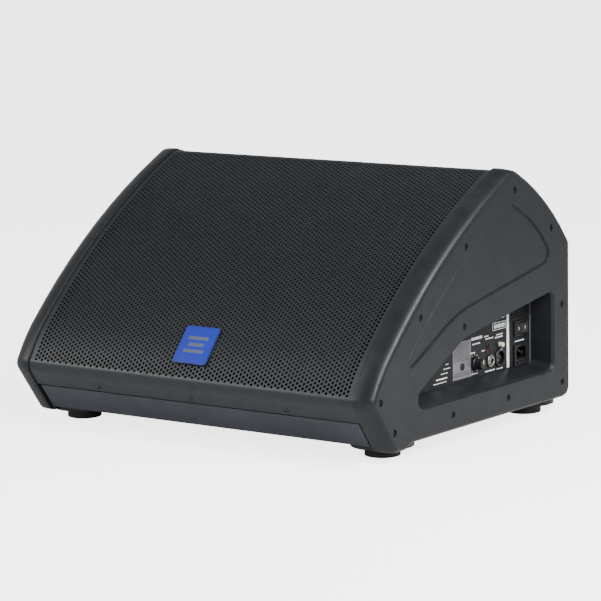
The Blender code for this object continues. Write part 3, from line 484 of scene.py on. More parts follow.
SOFT_EDGES = {
    "cheek_right": 0.5, "cheek_left": 0.5, "front_board": 0.8, "back_board": 1.5, "top_board": 0.8,
    "bottom_board": 1.0, "hand_pocket": 0.5, "amp_panel": 0.2, "rocker_bezel": 0.4, "power_rocker": 0.5,
    "mains_inlet": 0.5, "fuse_drawer": 0.3, "pin_line": 0.2, "pin_neutral": 0.2, "pin_earth": 0.2,
    "xlr_latch": 0.3,
}
for node, radius in SOFT_EDGES.items():
    softened(node, radius)
print("softened", len(SOFT_EDGES), "nodes")

# %% [markdown]
# ## Outlines with rounded corners
# Several shapes on this object are polygons whose corners are arcs of a known radius. One function gives
# the points of such an arc with the outward direction at each, and everything that follows uses it.

# %% A rounded corner
ARC_STEP = math.radians(0.8)


def corner_arc(before, corner, after):
    """Points of the arc that rounds one corner of a clockwise outline, with the outward normal at each."""
    here = Vector(corner[:2])
    to_before = (Vector(before[:2]) - here).normalized()
    to_after = (Vector(after[:2]) - here).normalized()
    half = to_before.angle(to_after) / 2.0
    centre = here + (to_before + to_after).normalized() * (corner[2] / math.sin(half))
    first = here + to_before * (corner[2] / math.tan(half)) - centre
    last = here + to_after * (corner[2] / math.tan(half)) - centre
    turn = first.angle_signed(last)
    steps = max(6, math.ceil(abs(turn) / ARC_STEP))
    points = []
    for step in range(steps + 1):
        arm = Matrix.Rotation(-turn * step / steps, 2) @ first
        points.append((centre + arm, arm.normalized() * math.copysign(1.0, turn)))
    return points


print("a square corner takes", len(corner_arc((0.0, 0.0), (0.0, 9.0, 3.0), (9.0, 9.0))), "points")

# %% [markdown]
# ### The leaf on each cheek
# The flat of each cheek has a shallow leaf-shaped panel, edged by a fine bead that catches the light. The
# bead runs just inside the step round the leaf: a circle swept along the leaf's outline. A curve with a
# round bevel makes that sweep, and it is then turned into a mesh.

# %% Leaf beads
LEAF_OUTLINE = [
    (-176.5, 93.7, 7.5), (-57.1, 219.7, 640.0), (89.7, 291.3, 5.0), (151.3, 259.8, 180.0),
    (192.4, 207.3, 14.0), (-34.9, 166.5, 200.0),
]
BEAD_RADIUS = 0.95
BEAD_X = 286.45
BEAD_INSET = 1.3


def leaf_bead(side, name):
    """A bead along the leaf's outline, on the right cheek (side 1) or the left one (side -1)."""
    route = []
    for index, corner in enumerate(LEAF_OUTLINE):
        following = LEAF_OUTLINE[(index + 1) % len(LEAF_OUTLINE)]
        arc = corner_arc(LEAF_OUTLINE[index - 1], corner, following)
        thinned = arc[::max(1, len(arc) // 24)] + arc[-1:]
        inside = [point - normal * BEAD_INSET for point, normal in thinned]
        route += [(side * BEAD_X, point.x, point.y) for point in inside]
    line = bpy.data.curves.new(name, "CURVE")
    line.dimensions = "3D"
    line.bevel_depth = BEAD_RADIUS * MM
    line.bevel_resolution = 2
    spline = line.splines.new("POLY")
    spline.points.add(len(route) - 1)
    for knot, place in zip(spline.points, route):
        knot.co = (*(Vector(place) * MM), 1.0)
    spline.use_cyclic_u = True
    carrier = bpy.data.objects.new(name, line)
    shape = bmesh.new()
    shape.from_mesh(carrier.to_mesh())
    carrier.to_mesh_clear()
    bpy.data.objects.remove(carrier)
    bmesh.ops.remove_doubles(shape, verts=shape.verts, dist=1e-6)
    bmesh.ops.recalc_face_normals(shape, faces=shape.faces)
    make_piece(name, shape, finishes["cheek_plastic"], smooth=math.radians(60.0))


leaf_bead(1, "leaf_bead_right")
leaf_bead(-1, "leaf_bead_left")
print("beads", BEAD_RADIUS * 2.0, "mm wide")

# %% [markdown]
# ## The front of the box in side view
# The grille, its foam and the badge all follow one curve: up the flange, round the nose, and back along a
# long arc to the ridge. The curve is kept as a few corners with their radii, and a function walks along it
# by length, which is how a flat sheet is laid out before it is bent.

# %% The front curve
FRONT_CORNERS = [
    (-186.3, 13.0, 0.0), (-235.3, 80.1, 18.0), (-210.0, 120.9, 200.0), (-82.9, 254.9, 902.0),
    (88.9, 338.8, 24.0), (178.7, 293.0, 0.0),
]
front_curve = []
for index in range(1, len(FRONT_CORNERS) - 1):
    front_curve += corner_arc(*FRONT_CORNERS[index - 1:index + 2])
front_curve.insert(0, (Vector(FRONT_CORNERS[0][:2]), front_curve[0][1]))
lengths = [0.0]
for (point, _), (following, _) in zip(front_curve, front_curve[1:]):
    lengths.append(lengths[-1] + (following - point).length)


def on_front(length, depth):
    """The y and z, in millimetres, at a length along the front curve and a depth under it."""
    index = 1
    while index < len(lengths) - 1 and lengths[index] < length:
        index += 1
    share = (length - lengths[index - 1]) / (lengths[index] - lengths[index - 1])
    point = front_curve[index - 1][0].lerp(front_curve[index][0], share)
    normal = front_curve[index - 1][1].lerp(front_curve[index][1], share).normalized()
    return point - normal * depth, normal


def length_at(axis, value):
    """The first length along the curve where y (axis 0) or z (axis 1) reaches a value."""
    for index, (point, _) in enumerate(front_curve[1:], 1):
        before = front_curve[index - 1][0]
        if before[axis] <= value <= point[axis]:
            share = (value - before[axis]) / (point[axis] - before[axis])
            return lengths[index - 1] + share * (lengths[index] - lengths[index - 1])
    raise ValueError("the front curve does not reach that value")


print("front curve", len(front_curve), "points,", round(lengths[-1]), "mm")

# %% [markdown]
# ## The perforated grille
# Perforated steel is punched on a staggered lattice, flat, and then bent. Each hole has a hexagon of steel
# to itself. So the sheet starts as hexagons, doubled over and over until they cover it. The hexagons where
# the sheet is plain stay whole. The others are inset, the inset face is pushed out to a circle and taken
# away, and its edge is drawn back by the thickness of the steel. Bending is one move of every point.

# %% Flat hexagons
HOLE_PITCH = 6.0
HOLE_RADIUS = 2.05
COLUMN = HOLE_PITCH * math.sqrt(3.0)
SHEET = 1.2
SHEET_DEPTH = 3.0
SHEET_HALF_WIDTH = 259.1
HOLES_HALF_WIDTH = 250.5
PLAIN_MARGIN = 3.6
DOUBLINGS = 6
COLUMNS_LEFT_OF_MIDDLE = 26.0
SPARE_ROWS = 2.0
HEXAGON_POINTS = 12


def doubled(shape, times, step):
    """Double everything in a shape a number of times, first by one step, then by two, four and so on."""
    for power in range(times):
        copies = bmesh.ops.duplicate(shape, geom=shape.verts[:] + shape.edges[:] + shape.faces[:])
        moved = [item for item in copies["geom"] if isinstance(item, bmesh.types.BMVert)]
        bmesh.ops.translate(shape, verts=moved, vec=Vector(step) * (2 ** power))


def hexagon_field(first_length):
    """Hexagons of the hole lattice, from one row upwards, with x across and y along the sheet."""
    shape = bmesh.new()
    for x, y in ((0.0, 0.0), (COLUMN / 2.0, HOLE_PITCH / 2.0)):
        ring = bmesh.ops.create_circle(shape, cap_ends=True, segments=6,
                                       radius=HOLE_PITCH / math.sqrt(3.0))["verts"]
        turn = Matrix.Rotation(-math.atan2(ring[0].co.y, ring[0].co.x), 3, "Z")
        bmesh.ops.rotate(shape, verts=ring, matrix=turn)
        bmesh.ops.translate(shape, verts=ring, vec=(x, y, 0.0))
    bmesh.ops.subdivide_edges(shape, edges=shape.edges[:], cuts=1)
    doubled(shape, DOUBLINGS, (COLUMN, 0.0, 0.0))
    doubled(shape, DOUBLINGS, (0.0, HOLE_PITCH, 0.0))
    start = (-COLUMNS_LEFT_OF_MIDDLE * COLUMN, first_length - SPARE_ROWS * HOLE_PITCH, 0.0)
    bmesh.ops.translate(shape, verts=shape.verts, vec=start)
    bmesh.ops.remove_doubles(shape, verts=shape.verts, dist=0.01)
    return shape


def trim(shape, low_length, high_length):
    """Cut a flat field to the sheet's width and length."""
    for place, normal in (((SHEET_HALF_WIDTH, 0, 0), (1, 0, 0)), ((-SHEET_HALF_WIDTH, 0, 0), (-1, 0, 0)),
                          ((0, high_length, 0), (0, 1, 0)), ((0, low_length, 0), (0, -1, 0))):
        bmesh.ops.bisect_plane(shape, geom=shape.verts[:] + shape.edges[:] + shape.faces[:],
                               plane_co=place, plane_no=normal, clear_outer=True)


def keep_hexagons(shape, low_length, high_length):
    """Keep the hexagons whose centres lie between two lengths, so that two halves meet cell by cell."""
    others = [f for f in shape.faces if not low_length < f.calc_center_median().y < high_length]
    bmesh.ops.delete(shape, geom=others, context="FACES")


print("sheet", 2.0 * SHEET_HALF_WIDTH, "mm wide, columns", round(COLUMN, 2), "mm apart")

# %% Punch the holes
def punch(shape, low_length, high_length):
    """Open a round hole in each whole hexagon between two lengths, with a wall as deep as the steel."""
    chosen = []
    for face in shape.faces:
        centre = face.calc_center_median()
        inside = abs(centre.x) < HOLES_HALF_WIDTH and low_length < centre.y < high_length
        if inside and len(face.verts) == HEXAGON_POINTS:
            chosen.append(face)
    bmesh.ops.inset_individual(shape, faces=chosen, thickness=0.4, use_even_offset=True)
    for face in chosen:
        centre = face.calc_center_median()
        for corner in face.verts:
            corner.co = centre + (corner.co - centre).normalized() * HOLE_RADIUS
    rims = list({edge for face in chosen for edge in face.edges})
    bmesh.ops.delete(shape, geom=chosen, context="FACES_ONLY")
    walls = bmesh.ops.extrude_edge_only(shape, edges=rims)
    drawn = [item for item in walls["geom"] if isinstance(item, bmesh.types.BMVert)]
    bmesh.ops.translate(shape, verts=drawn, vec=(0.0, 0.0, -SHEET))
    return len(chosen)


def bend(shape, depth):
    """Bend a flat field round the front curve: y is length along it and z is height over it."""
    for corner in shape.verts:
        point, _ = on_front(corner.co.y, depth - corner.co.z)
        corner.co = Vector((corner.co.x, point.x, point.y)) * MM


RIDGE_Y = 92.6
FIRST_ROW_Z = 90.4
RIDGE_MARGIN = 4.0
ridge_length = length_at(0, RIDGE_Y)
first_row = length_at(1, FIRST_ROW_Z)
last_row = ridge_length - RIDGE_MARGIN
middle = first_row + HOLE_PITCH * round((last_row - first_row) / HOLE_PITCH / 2.0) - HOLE_PITCH / 4.0
print("rows from", round(first_row), "to", round(last_row), "mm along the curve")

# %% Grille halves
HALVES = (
    ("grille_sheet_lower", first_row, 0.0, middle),
    ("grille_sheet_upper", middle + HOLE_PITCH / 4.0, middle, ridge_length),
)
for name, row, low, high in HALVES:
    sheet = hexagon_field(row)
    trim(sheet, first_row - PLAIN_MARGIN, ridge_length)
    keep_hexagons(sheet, low, high)
    holes = punch(sheet, first_row - 1.0, last_row)
    bend(sheet, SHEET_DEPTH)
    piece = make_piece(name, sheet, finishes["grille_steel"], ("grille",), smooth=math.radians(40.0))
    print(name, holes, "holes,", len(piece.data.polygons), "faces")

# %% [markdown]
# Below the holes the sheet is plain: it rolls round the nose and ends in a flange that is screwed to the
# front board. A flat grid with fine rows is bent the same way, and solidified to the steel's thickness.

# %% Grille nose
def plain_sheet(low_length, high_length, half_width, columns, row):
    """A flat grid between two lengths, with rows of about one height."""
    shape = bmesh.new()
    rows = max(2, round((high_length - low_length) / row))
    bmesh.ops.create_grid(shape, x_segments=columns, y_segments=rows, size=0.5)
    bmesh.ops.scale(shape, verts=shape.verts, vec=(2.0 * half_width, high_length - low_length, 1.0))
    bmesh.ops.translate(shape, verts=shape.verts, vec=(0.0, (low_length + high_length) / 2.0, 0.0))
    return shape


FLANGE_END_Z = 53.2
NOSE_ROW = 1.2
nose = plain_sheet(length_at(1, FLANGE_END_Z), first_row - PLAIN_MARGIN, SHEET_HALF_WIDTH, 2, NOSE_ROW)
bend(nose, SHEET_DEPTH)
bmesh.ops.solidify(nose, geom=nose.faces[:], thickness=SHEET * MM)
bmesh.ops.recalc_face_normals(nose, faces=nose.faces[:])
nose_piece = make_piece("grille_nose", nose, finishes["grille_steel"], ("grille",))
print("grille nose", len(nose_piece.data.polygons), "faces")

# %% [markdown]
# ## The foam behind the grille
# A sheet of open-cell foam keeps dust and eyes out. It is glued to the back of the steel, so it is the
# same bend a little deeper, six millimetres thick.

# %% Foam
FOAM = 6.0
FOAM_DEPTH = SHEET_DEPTH + SHEET + 0.4
FOAM_LOW_Z = 106.0
FOAM_HIGH_Y = 84.0
FOAM_HALF_WIDTH = 239.5
foam = plain_sheet(length_at(1, FOAM_LOW_Z), length_at(0, FOAM_HIGH_Y), FOAM_HALF_WIDTH, 40, 8.0)
bend(foam, FOAM_DEPTH)
bmesh.ops.solidify(foam, geom=foam.faces[:], thickness=(FOAM - 0.2) * MM)
bmesh.ops.recalc_face_normals(foam, faces=foam.faces[:])
foam_piece = make_piece("foam_sheet", foam, finishes["black_foam"], ("grille_foam",))
print("foam", 2.0 * FOAM_HALF_WIDTH, "mm wide and", FOAM, "mm thick")

# %% [markdown]
# ## The badge
# A small enamelled plate is riveted to the grille. It has a dark rim, a blue field set into it and, in
# place of any lettering, three plain bars. The rim and the field are one rounded block each, made flat
# and then laid on the sheet's slope.

# %% Badge
BADGE_SIZE = (54.0, 55.0)
BADGE_CORNER = 4.0
BADGE_RIM = 1.3
BADGE_MIDDLE_Z = 127.0
BADGE_PLACE = length_at(1, BADGE_MIDDLE_Z)


def rounded_block(width, length, low, high, corner, edge):
    """A flat block with rounded corners and a softened top edge, centred in x and y."""
    shape = bmesh.new()
    bmesh.ops.create_cube(shape, size=1.0)
    bmesh.ops.scale(shape, verts=shape.verts, vec=(width, length, high - low))
    bmesh.ops.translate(shape, verts=shape.verts, vec=(0.0, 0.0, (low + high) / 2.0))
    upright = [e for e in shape.edges if abs(e.verts[0].co.z - e.verts[1].co.z) > 0.01]
    bmesh.ops.bevel(shape, geom=upright, offset=corner, segments=8, affect="EDGES", profile=0.5, material=-1)
    top = [e for e in shape.edges if e.is_valid and min(v.co.z for v in e.verts) > high - 0.01]
    rim = [e for e in top if any(abs(f.normal.z) < 0.5 for f in e.link_faces)]
    bmesh.ops.bevel(shape, geom=rim, offset=edge, segments=2, affect="EDGES", profile=0.5, material=-1)
    return shape


def lay_on_front(shape, length, depth):
    """Lay a flat shape on the front's slope at a length, with its z pointing out of the sheet."""
    point, normal = on_front(length, depth)
    outward = Vector((0.0, normal.x, normal.y))
    across = Vector((1.0, 0.0, 0.0))
    along = outward.cross(across)
    turn = Matrix((across, along, outward)).transposed().to_4x4()
    turn.translation = Vector((0.0, point.x, point.y))
    bmesh.ops.transform(shape, matrix=Matrix.Scale(MM, 4) @ turn, verts=shape.verts)


rim = rounded_block(*BADGE_SIZE, 0.3, 2.3, BADGE_CORNER, 0.5)
lay_on_front(rim, BADGE_PLACE, SHEET_DEPTH)
make_piece("badge_rim", rim, badge_border, ("badge_plate",))
field = rounded_block(BADGE_SIZE[0] - 2.0 * BADGE_RIM, BADGE_SIZE[1] - 2.0 * BADGE_RIM, 2.2, 2.6,
                      BADGE_CORNER - BADGE_RIM, 0.15)
lay_on_front(field, BADGE_PLACE, SHEET_DEPTH)
make_piece("badge_field", field, finishes["badge_enamel"], ("badge_plate",))
BARS = ((-9.5, 32.0), (0.0, 24.0), (9.5, 32.0))
BAR_HEIGHT = 5.0
marks = bmesh.new()
for rise, width in BARS:
    bar = rounded_block(width, BAR_HEIGHT, 2.55, 2.72, 1.6, 0.05)
    bmesh.ops.translate(bar, verts=bar.verts, vec=(0.0, rise, 0.0))
    absorb(marks, bar)
lay_on_front(marks, BADGE_PLACE, SHEET_DEPTH)
make_piece("badge_bars", marks, badge_print, ("badge_plate",))
print("badge at", round(BADGE_PLACE), "mm along the curve")

# %% [markdown]
# ## Turned pieces
# Feet, knobs, sockets, buttons and screw heads come off a lathe or out of a round tool. Each is a profile
# of radius and height, spun once round its axis. The spin's seam and its pole are merged, and the shape is
# then turned to face the way its hole does.

# %% Turn a profile
TO_RIGHT = Matrix.Rotation(math.radians(90.0), 4, "Y")
TO_LEFT = Matrix.Rotation(math.radians(-90.0), 4, "Y")


def turned(profile, steps=48):
    """A closed profile of (radius, height) in millimetres, spun round z."""
    shape = bmesh.new()
    corners = [shape.verts.new((radius, 0.0, height)) for radius, height in profile]
    around = corners if profile[0][0] == 0.0 == profile[-1][0] else corners + corners[:1]
    for first, second in zip(around, around[1:]):
        shape.edges.new((first, second))
    bmesh.ops.spin(shape, geom=shape.verts[:] + shape.edges[:], cent=(0, 0, 0), axis=(0, 0, 1),
                   angle=2.0 * math.pi, steps=steps, use_merge=True, use_duplicate=False)
    bmesh.ops.remove_doubles(shape, verts=shape.verts, dist=0.0005)
    bmesh.ops.recalc_face_normals(shape, faces=shape.faces)
    return shape


def settle(shape, turn, x, y, z):
    """Turn a shape about its own origin, take it to its place in millimetres, and scale it to metres."""
    place = Matrix.Scale(MM, 4) @ Matrix.Translation((x, y, z)) @ turn
    bmesh.ops.transform(shape, matrix=place, verts=shape.verts)
    return shape


washer = turned([(2.0, 0.0), (4.0, 0.0), (4.0, 1.0), (2.0, 1.0)])
print("a plain washer turns into", len(washer.faces), "faces")
washer.free()

# %% [markdown]
# ### Feet
# Each foot is a rubber puck with a rounded tread edge and a recess that hides its screw. Its centre comes
# from the frame, and its profile has the small radii that a rubber mould needs.

# %% Feet and their screws
FOOT_RADIUS = 22.8
FOOT_PROFILE = [
    (2.7, 12.6), (2.7, 6.0), (7.6, 6.0), (8.0, 5.6), (8.0, 0.6), (8.5, 0.05), (20.8, 0.0), (22.0, 0.4),
    (22.7, 1.4), (FOOT_RADIUS, 2.6), (22.5, 9.0), (22.1, 9.4), (22.1, 10.0), (22.5, 10.4), (22.5, 12.2),
    (22.1, 12.6),
]
FOOT_SCREW_PROFILE = [
    (0.0, 3.9), (1.6, 3.9), (1.7, 2.7), (3.6, 2.9), (5.2, 3.6), (5.9, 4.6), (6.0, 5.5), (2.4, 5.5),
    (2.4, 28.0), (0.0, 29.0),
]
for node in [name for name in nodes if name.startswith("foot_")]:
    centre = centre_of(node)
    is_screw = "screw" in node
    shape = turned(FOOT_SCREW_PROFILE if is_screw else FOOT_PROFILE, 32 if is_screw else 64)
    settle(shape, Matrix(), centre.x, centre.y, 0.0)
    make_piece(node + "_turned", shape, finishes[slot_of[node]], (node,))
print("feet at", [round(v, 1) for v in centre])

# %% [markdown]
# ### Screws
# The grille's flange is held by three pan-head screws, and each cheek by eleven in deep sinks. A screw
# head here is a low dome with a round socket. One mesh per cheek holds its eleven, since they never part.

# %% Cheek and flange screws
SCREW_PLACES = [
    (96.5, 308.0), (184.5, 249.0), (210.5, 145.0), (211.5, 41.0), (78.5, 41.0), (-50.5, 40.0),
    (-180.5, 39.0), (-209.5, 81.0), (-121.5, 173.0), (-18.5, 249.0), (-23.5, 148.0),
]
SCREW_FACE_X = 287.5
HEAD_PROFILE = [
    (0.0, -2.4), (1.5, -2.3), (1.55, -0.9), (2.0, -0.75), (3.2, -1.05), (4.0, -1.7), (4.1, -2.6),
    (4.1, -3.1), (0.0, -3.1),
]
for side, turn, name in ((1, TO_RIGHT, "right"), (-1, TO_LEFT, "left")):
    heads = bmesh.new()
    for y, z in SCREW_PLACES:
        absorb(heads, settle(turned(HEAD_PROFILE, 24), turn, side * SCREW_FACE_X, y, z))
    piece = make_piece("cheek_screws_" + name, heads, finishes["black_screw"])
PAN_PROFILE = [
    (0.0, 0.9), (1.5, 1.0), (1.55, 2.1), (2.2, 2.1), (3.6, 1.5), (4.2, 0.5), (4.2, 0.2), (1.6, 0.2),
    (1.6, -11.0), (0.0, -11.0),
]
FLANGE_SCREW_X = 151.0
FLANGE_SCREW_Z = 58.0
for index, x in enumerate((-FLANGE_SCREW_X, 0.0, FLANGE_SCREW_X)):
    screw = turned(PAN_PROFILE, 32)
    bmesh.ops.translate(screw, verts=screw.verts, vec=(x, 0.0, 0.0))
    lay_on_front(screw, length_at(1, FLANGE_SCREW_Z), SHEET_DEPTH)
    make_piece(f"flange_screw_{index + 1}", screw, finishes["black_screw"], (f"grille_screw_{index + 1}",))
print("screws", 2 * len(SCREW_PLACES) + 3)

# %% [markdown]
# ## The amplifier panel's fittings
# The panel sits deep in the right cheek. Its fittings are turned again, with the true profile of each: a
# fluted knob, a nickel jack nut, a flanged signal socket, two push buttons in bezels and two small lamps.
# Each one takes its centre from the node that it stands for.

# %% Fittings
PANEL_X = 258.0
LAMP_PROFILE = [(0.0, -3.0), (1.4, -3.0), (1.4, 0.4), (1.2, 1.0), (0.7, 1.4), (0.0, 1.5)]
FITTINGS = {
    "jack_socket": [
        (3.3, 3.6), (3.3, -22.0), (0.0, -22.0), (0.0, -26.0), (7.5, -26.0), (7.5, -5.0), (5.6, -5.0),
        (5.6, 0.3), (7.9, 0.3), (8.0, 0.6), (8.0, 1.9), (7.7, 2.2), (6.4, 2.3), (5.8, 2.8), (5.6, 3.7),
        (5.2, 4.0), (3.7, 4.0)],
    "xlr_socket": [
        (8.7, 2.2), (8.7, -15.0), (0.0, -15.0), (0.0, -20.0), (10.0, -20.0), (10.0, 0.3), (11.8, 0.3),
        (12.0, 0.6), (12.0, 1.8), (11.6, 2.2), (9.6, 2.4), (9.0, 2.4)],
    "volume_pot": [
        (3.05, 5.0), (3.05, -9.0), (0.0, -9.0), (0.0, -14.0), (9.0, -14.0), (9.0, -4.0), (3.6, -4.0),
        (3.6, 5.0)],
    "volume_shaft": [(0.0, -8.5), (3.0, -8.5), (3.0, 10.8), (2.8, 11.0), (0.0, 11.0)],
    "lift_bezel": [
        (3.3, 1.0), (3.3, -9.0), (0.0, -9.0), (0.0, -12.0), (6.3, -12.0), (6.3, -3.0), (3.6, -3.0),
        (3.6, 0.3), (4.7, 0.3), (4.8, 0.6), (4.4, 1.1), (3.9, 1.2), (3.5, 1.2)],
    "mode_bezel": [
        (2.8, 1.0), (2.8, -9.0), (0.0, -9.0), (0.0, -12.0), (5.8, -12.0), (5.8, -3.0), (3.1, -3.0),
        (3.1, 0.3), (4.1, 0.3), (4.2, 0.6), (3.8, 1.1), (3.3, 1.2), (3.0, 1.2)],
    "lift_button": [
        (0.0, -4.0), (3.1, -4.0), (3.1, 6.2), (2.95, 6.7), (2.5, 7.0), (1.5, 6.8), (0.0, 6.7)],
    "mode_button": [(0.0, -4.0), (2.6, -4.0), (2.6, 1.8), (2.4, 2.2), (2.0, 2.4), (0.0, 2.2)],
    "led_signal": LAMP_PROFILE,
    "led_limit": LAMP_PROFILE,
}
for node, profile in FITTINGS.items():
    centre = centre_of(node)
    shape = settle(turned(profile, 40), TO_RIGHT, PANEL_X, centre.y, centre.z)
    make_piece(node + "_turned", shape, finishes[slot_of[node]], (node,))
print("fittings", ", ".join(FITTINGS))

# %% [markdown]
# The signal socket holds an insert with three contacts. It is a turned plug of hard plastic, and each
# contact is a small dark cup in its face.

# %% Socket insert
INSERT_RADIUS = 6.2
SOCKET_AXIS_Z = 86.5
CONTACT_CIRCLE = 3.6
socket_centre = centre_of("xlr_socket")
insert = turned([
    (0.0, -14.8), (INSERT_RADIUS, -14.8), (INSERT_RADIUS, -2.0), (INSERT_RADIUS - 0.4, -1.6),
    (0.0, -1.6)], 40)
settle(insert, TO_RIGHT, PANEL_X, socket_centre.y, SOCKET_AXIS_Z)
make_piece("xlr_insert", insert, finishes["black_plastic"])
contacts = bmesh.new()
for angle in (90.0, 210.0, 330.0):
    cup = turned([(0.7, -1.5), (1.3, -1.5), (1.3, -1.25), (1.1, -1.1), (0.8, -1.1), (0.7, -1.3)], 16)
    turn = Matrix.Rotation(math.radians(angle), 4, "Z")
    bmesh.ops.transform(cup, matrix=turn @ Matrix.Translation((CONTACT_CIRCLE, 0.0, 0.0)), verts=cup.verts)
    absorb(contacts, settle(cup, TO_RIGHT, PANEL_X, socket_centre.y, SOCKET_AXIS_Z))
make_piece("xlr_contacts", contacts, finishes["nickel_plate"])
print("socket insert at", round(socket_centre.y, 1), SOCKET_AXIS_Z)

# %% [markdown]
# ### The knob
# A knob is fluted so that a damp thumb can turn it. It is the same kind of turned profile, and then every
# other line of its side is drawn in a little. A white line on its cap shows where it points.

# %% Volume knob
FLUTES = 18
FLUTE_DEPTH = 0.055
KNOB_PROFILE = [
    (4.2, 1.2), (8.1, 1.2), (8.2, 1.5), (8.2, 2.6), (7.9, 3.0), (7.3, 3.6), (7.1, 6.0), (6.8, 10.0),
    (6.6, 12.6), (6.3, 13.4), (5.7, 13.9), (4.6, 14.0), (0.0, 13.8), (0.0, 11.4), (3.3, 11.4), (3.3, 6.0),
    (4.2, 6.0),
]
knob = turned(KNOB_PROFILE, FLUTES * 4)
for corner in knob.verts:
    if 6.5 < math.hypot(corner.co.x, corner.co.y) and 3.2 < corner.co.z < 12.9:
        wave = 0.5 + 0.5 * math.cos(FLUTES * math.atan2(corner.co.y, corner.co.x))
        corner.co.xy = corner.co.xy * (1.0 - FLUTE_DEPTH * wave)
knob_centre = centre_of("volume_knob")
settle(knob, TO_RIGHT, PANEL_X, knob_centre.y, knob_centre.z)
make_piece("volume_knob_fluted", knob, finishes["black_plastic"], ("volume_knob",),
           smooth=math.radians(50.0))
pointer = rounded_block(6.0, 1.2, 13.7, 14.05, 0.5, 0.05)
bmesh.ops.translate(pointer, verts=pointer.verts, vec=(3.0, 0.0, 0.0))
half_turn = Matrix.Rotation(math.radians(180.0), 4, "Z")
settle(pointer, TO_RIGHT @ half_turn, PANEL_X, knob_centre.y, knob_centre.z)
make_piece("volume_pointer", pointer, white_print, ("volume_knob",))
print("knob with", FLUTES, "flutes")

# %% [markdown]
# ### Print on the panel
# The panel's legends are left out. What stays is the plain graphic: a broad stripe that parts the signal
# side from the mains side, rows of short blocks where lines of print would be, a frame, the dots of the
# volume scale and the ribs above the mains rocker. Print has almost no thickness, so each mark is a very
# low block.

# %% Panel print
PRINT_RISE = 0.12
PRINT_BASE = 0.05
WORD_WIDTHS = (3.4, 1.8, 2.6, 4.2, 2.2)
WORD_GAP = 0.9
TICKS = 11
TICK_CIRCLE = 11.5
TICK_HALF = 0.5


def mark(target, low_y, high_y, low_z, high_z, rise=PRINT_RISE):
    """One low block on the panel, between two corners in millimetres."""
    made = bmesh.ops.create_cube(target, size=1.0)["verts"]
    bmesh.ops.scale(target, verts=made, vec=(rise, high_y - low_y, high_z - low_z))
    middle_place = (PANEL_X + PRINT_BASE + rise / 2.0, (low_y + high_y) / 2.0, (low_z + high_z) / 2.0)
    bmesh.ops.translate(target, verts=made, vec=middle_place)


def panel_piece(name, marks_list, material, rise=PRINT_RISE):
    """Marks that share a finish, as one piece on the panel."""
    shape = bmesh.new()
    for corners in marks_list:
        mark(shape, *corners, rise=rise)
    bmesh.ops.scale(shape, verts=shape.verts, vec=(MM, MM, MM))
    piece = make_piece(name, shape, material)


def word_row(y, z, length, height):
    """Short blocks in a row, where a line of small print would be."""
    row = []
    place = y
    word = 0
    while place + WORD_WIDTHS[word % len(WORD_WIDTHS)] <= y + length:
        width = WORD_WIDTHS[word % len(WORD_WIDTHS)]
        row.append((place, place + width, z, z + height))
        place += width + WORD_GAP
        word += 1
    return row


def outline_marks(low_y, high_y, low_z, high_z, line=0.7):
    """The four sides of a printed frame."""
    return [(low_y, high_y, low_z, low_z + line), (low_y, high_y, high_z - line, high_z),
            (low_y, low_y + line, low_z, high_z), (high_y - line, high_y, low_z, high_z)]


WORD_ROWS = (
    (38.0, 118.5, 26.0, 3.6), (40.0, 112.5, 18.0, 1.5), (36.0, 101.5, 13.0, 1.6), (37.0, 74.0, 17.0, 1.6),
    (70.0, 72.5, 23.0, 1.6), (71.0, 115.0, 18.0, 1.5), (68.0, 118.5, 12.0, 1.5), (94.0, 113.5, 19.0, 1.6),
    (97.0, 117.0, 15.0, 1.4), (92.0, 126.5, 25.0, 5.0), (88.0, 138.0, 29.0, 3.2), (62.0, 101.0, 9.0, 1.3),
    (97.0, 72.0, 17.0, 1.4), (142.0, 101.5, 24.0, 1.4), (-44.0, 79.0, 26.0, 1.9),
    (-50.0, 74.6, 32.0, 1.1), (-33.0, 85.5, 16.0, 1.0), (-27.0, 91.0, 15.0, 1.0), (-22.0, 96.5, 9.0, 1.0),
)
print_marks = outline_marks(88.0, 119.5, 124.0, 134.0)
for row in WORD_ROWS:
    print_marks += word_row(*row)
for step in range(TICKS):
    angle = math.radians(240.0 - 30.0 * step)
    tick_y = knob_centre.y + TICK_CIRCLE * math.cos(angle)
    tick_z = knob_centre.z + TICK_CIRCLE * math.sin(angle)
    print_marks.append((tick_y - TICK_HALF, tick_y + TICK_HALF, tick_z - TICK_HALF, tick_z + TICK_HALF))
panel_piece("panel_print", print_marks, bright_print)
panel_piece("panel_stripe", [(121.8, 127.2, 70.5, 147.0)], bright_print)
# A pale bar along the seam where the panel meets the pocket's wall: a painted highlight for the line of
# light on that edge.
panel_piece("panel_seam_painted_highlight", [(177.0, 178.6, 66.0, 152.0)], label_plate, rise=0.8)
print("panel marks", len(print_marks), "with", TICKS, "round the knob")

# %% [markdown]
# The rating plate is a thin metal plate beside the controls. It is covered in fine print, shown here as
# plain lines, and it leaves a round hole for a fixing below it.

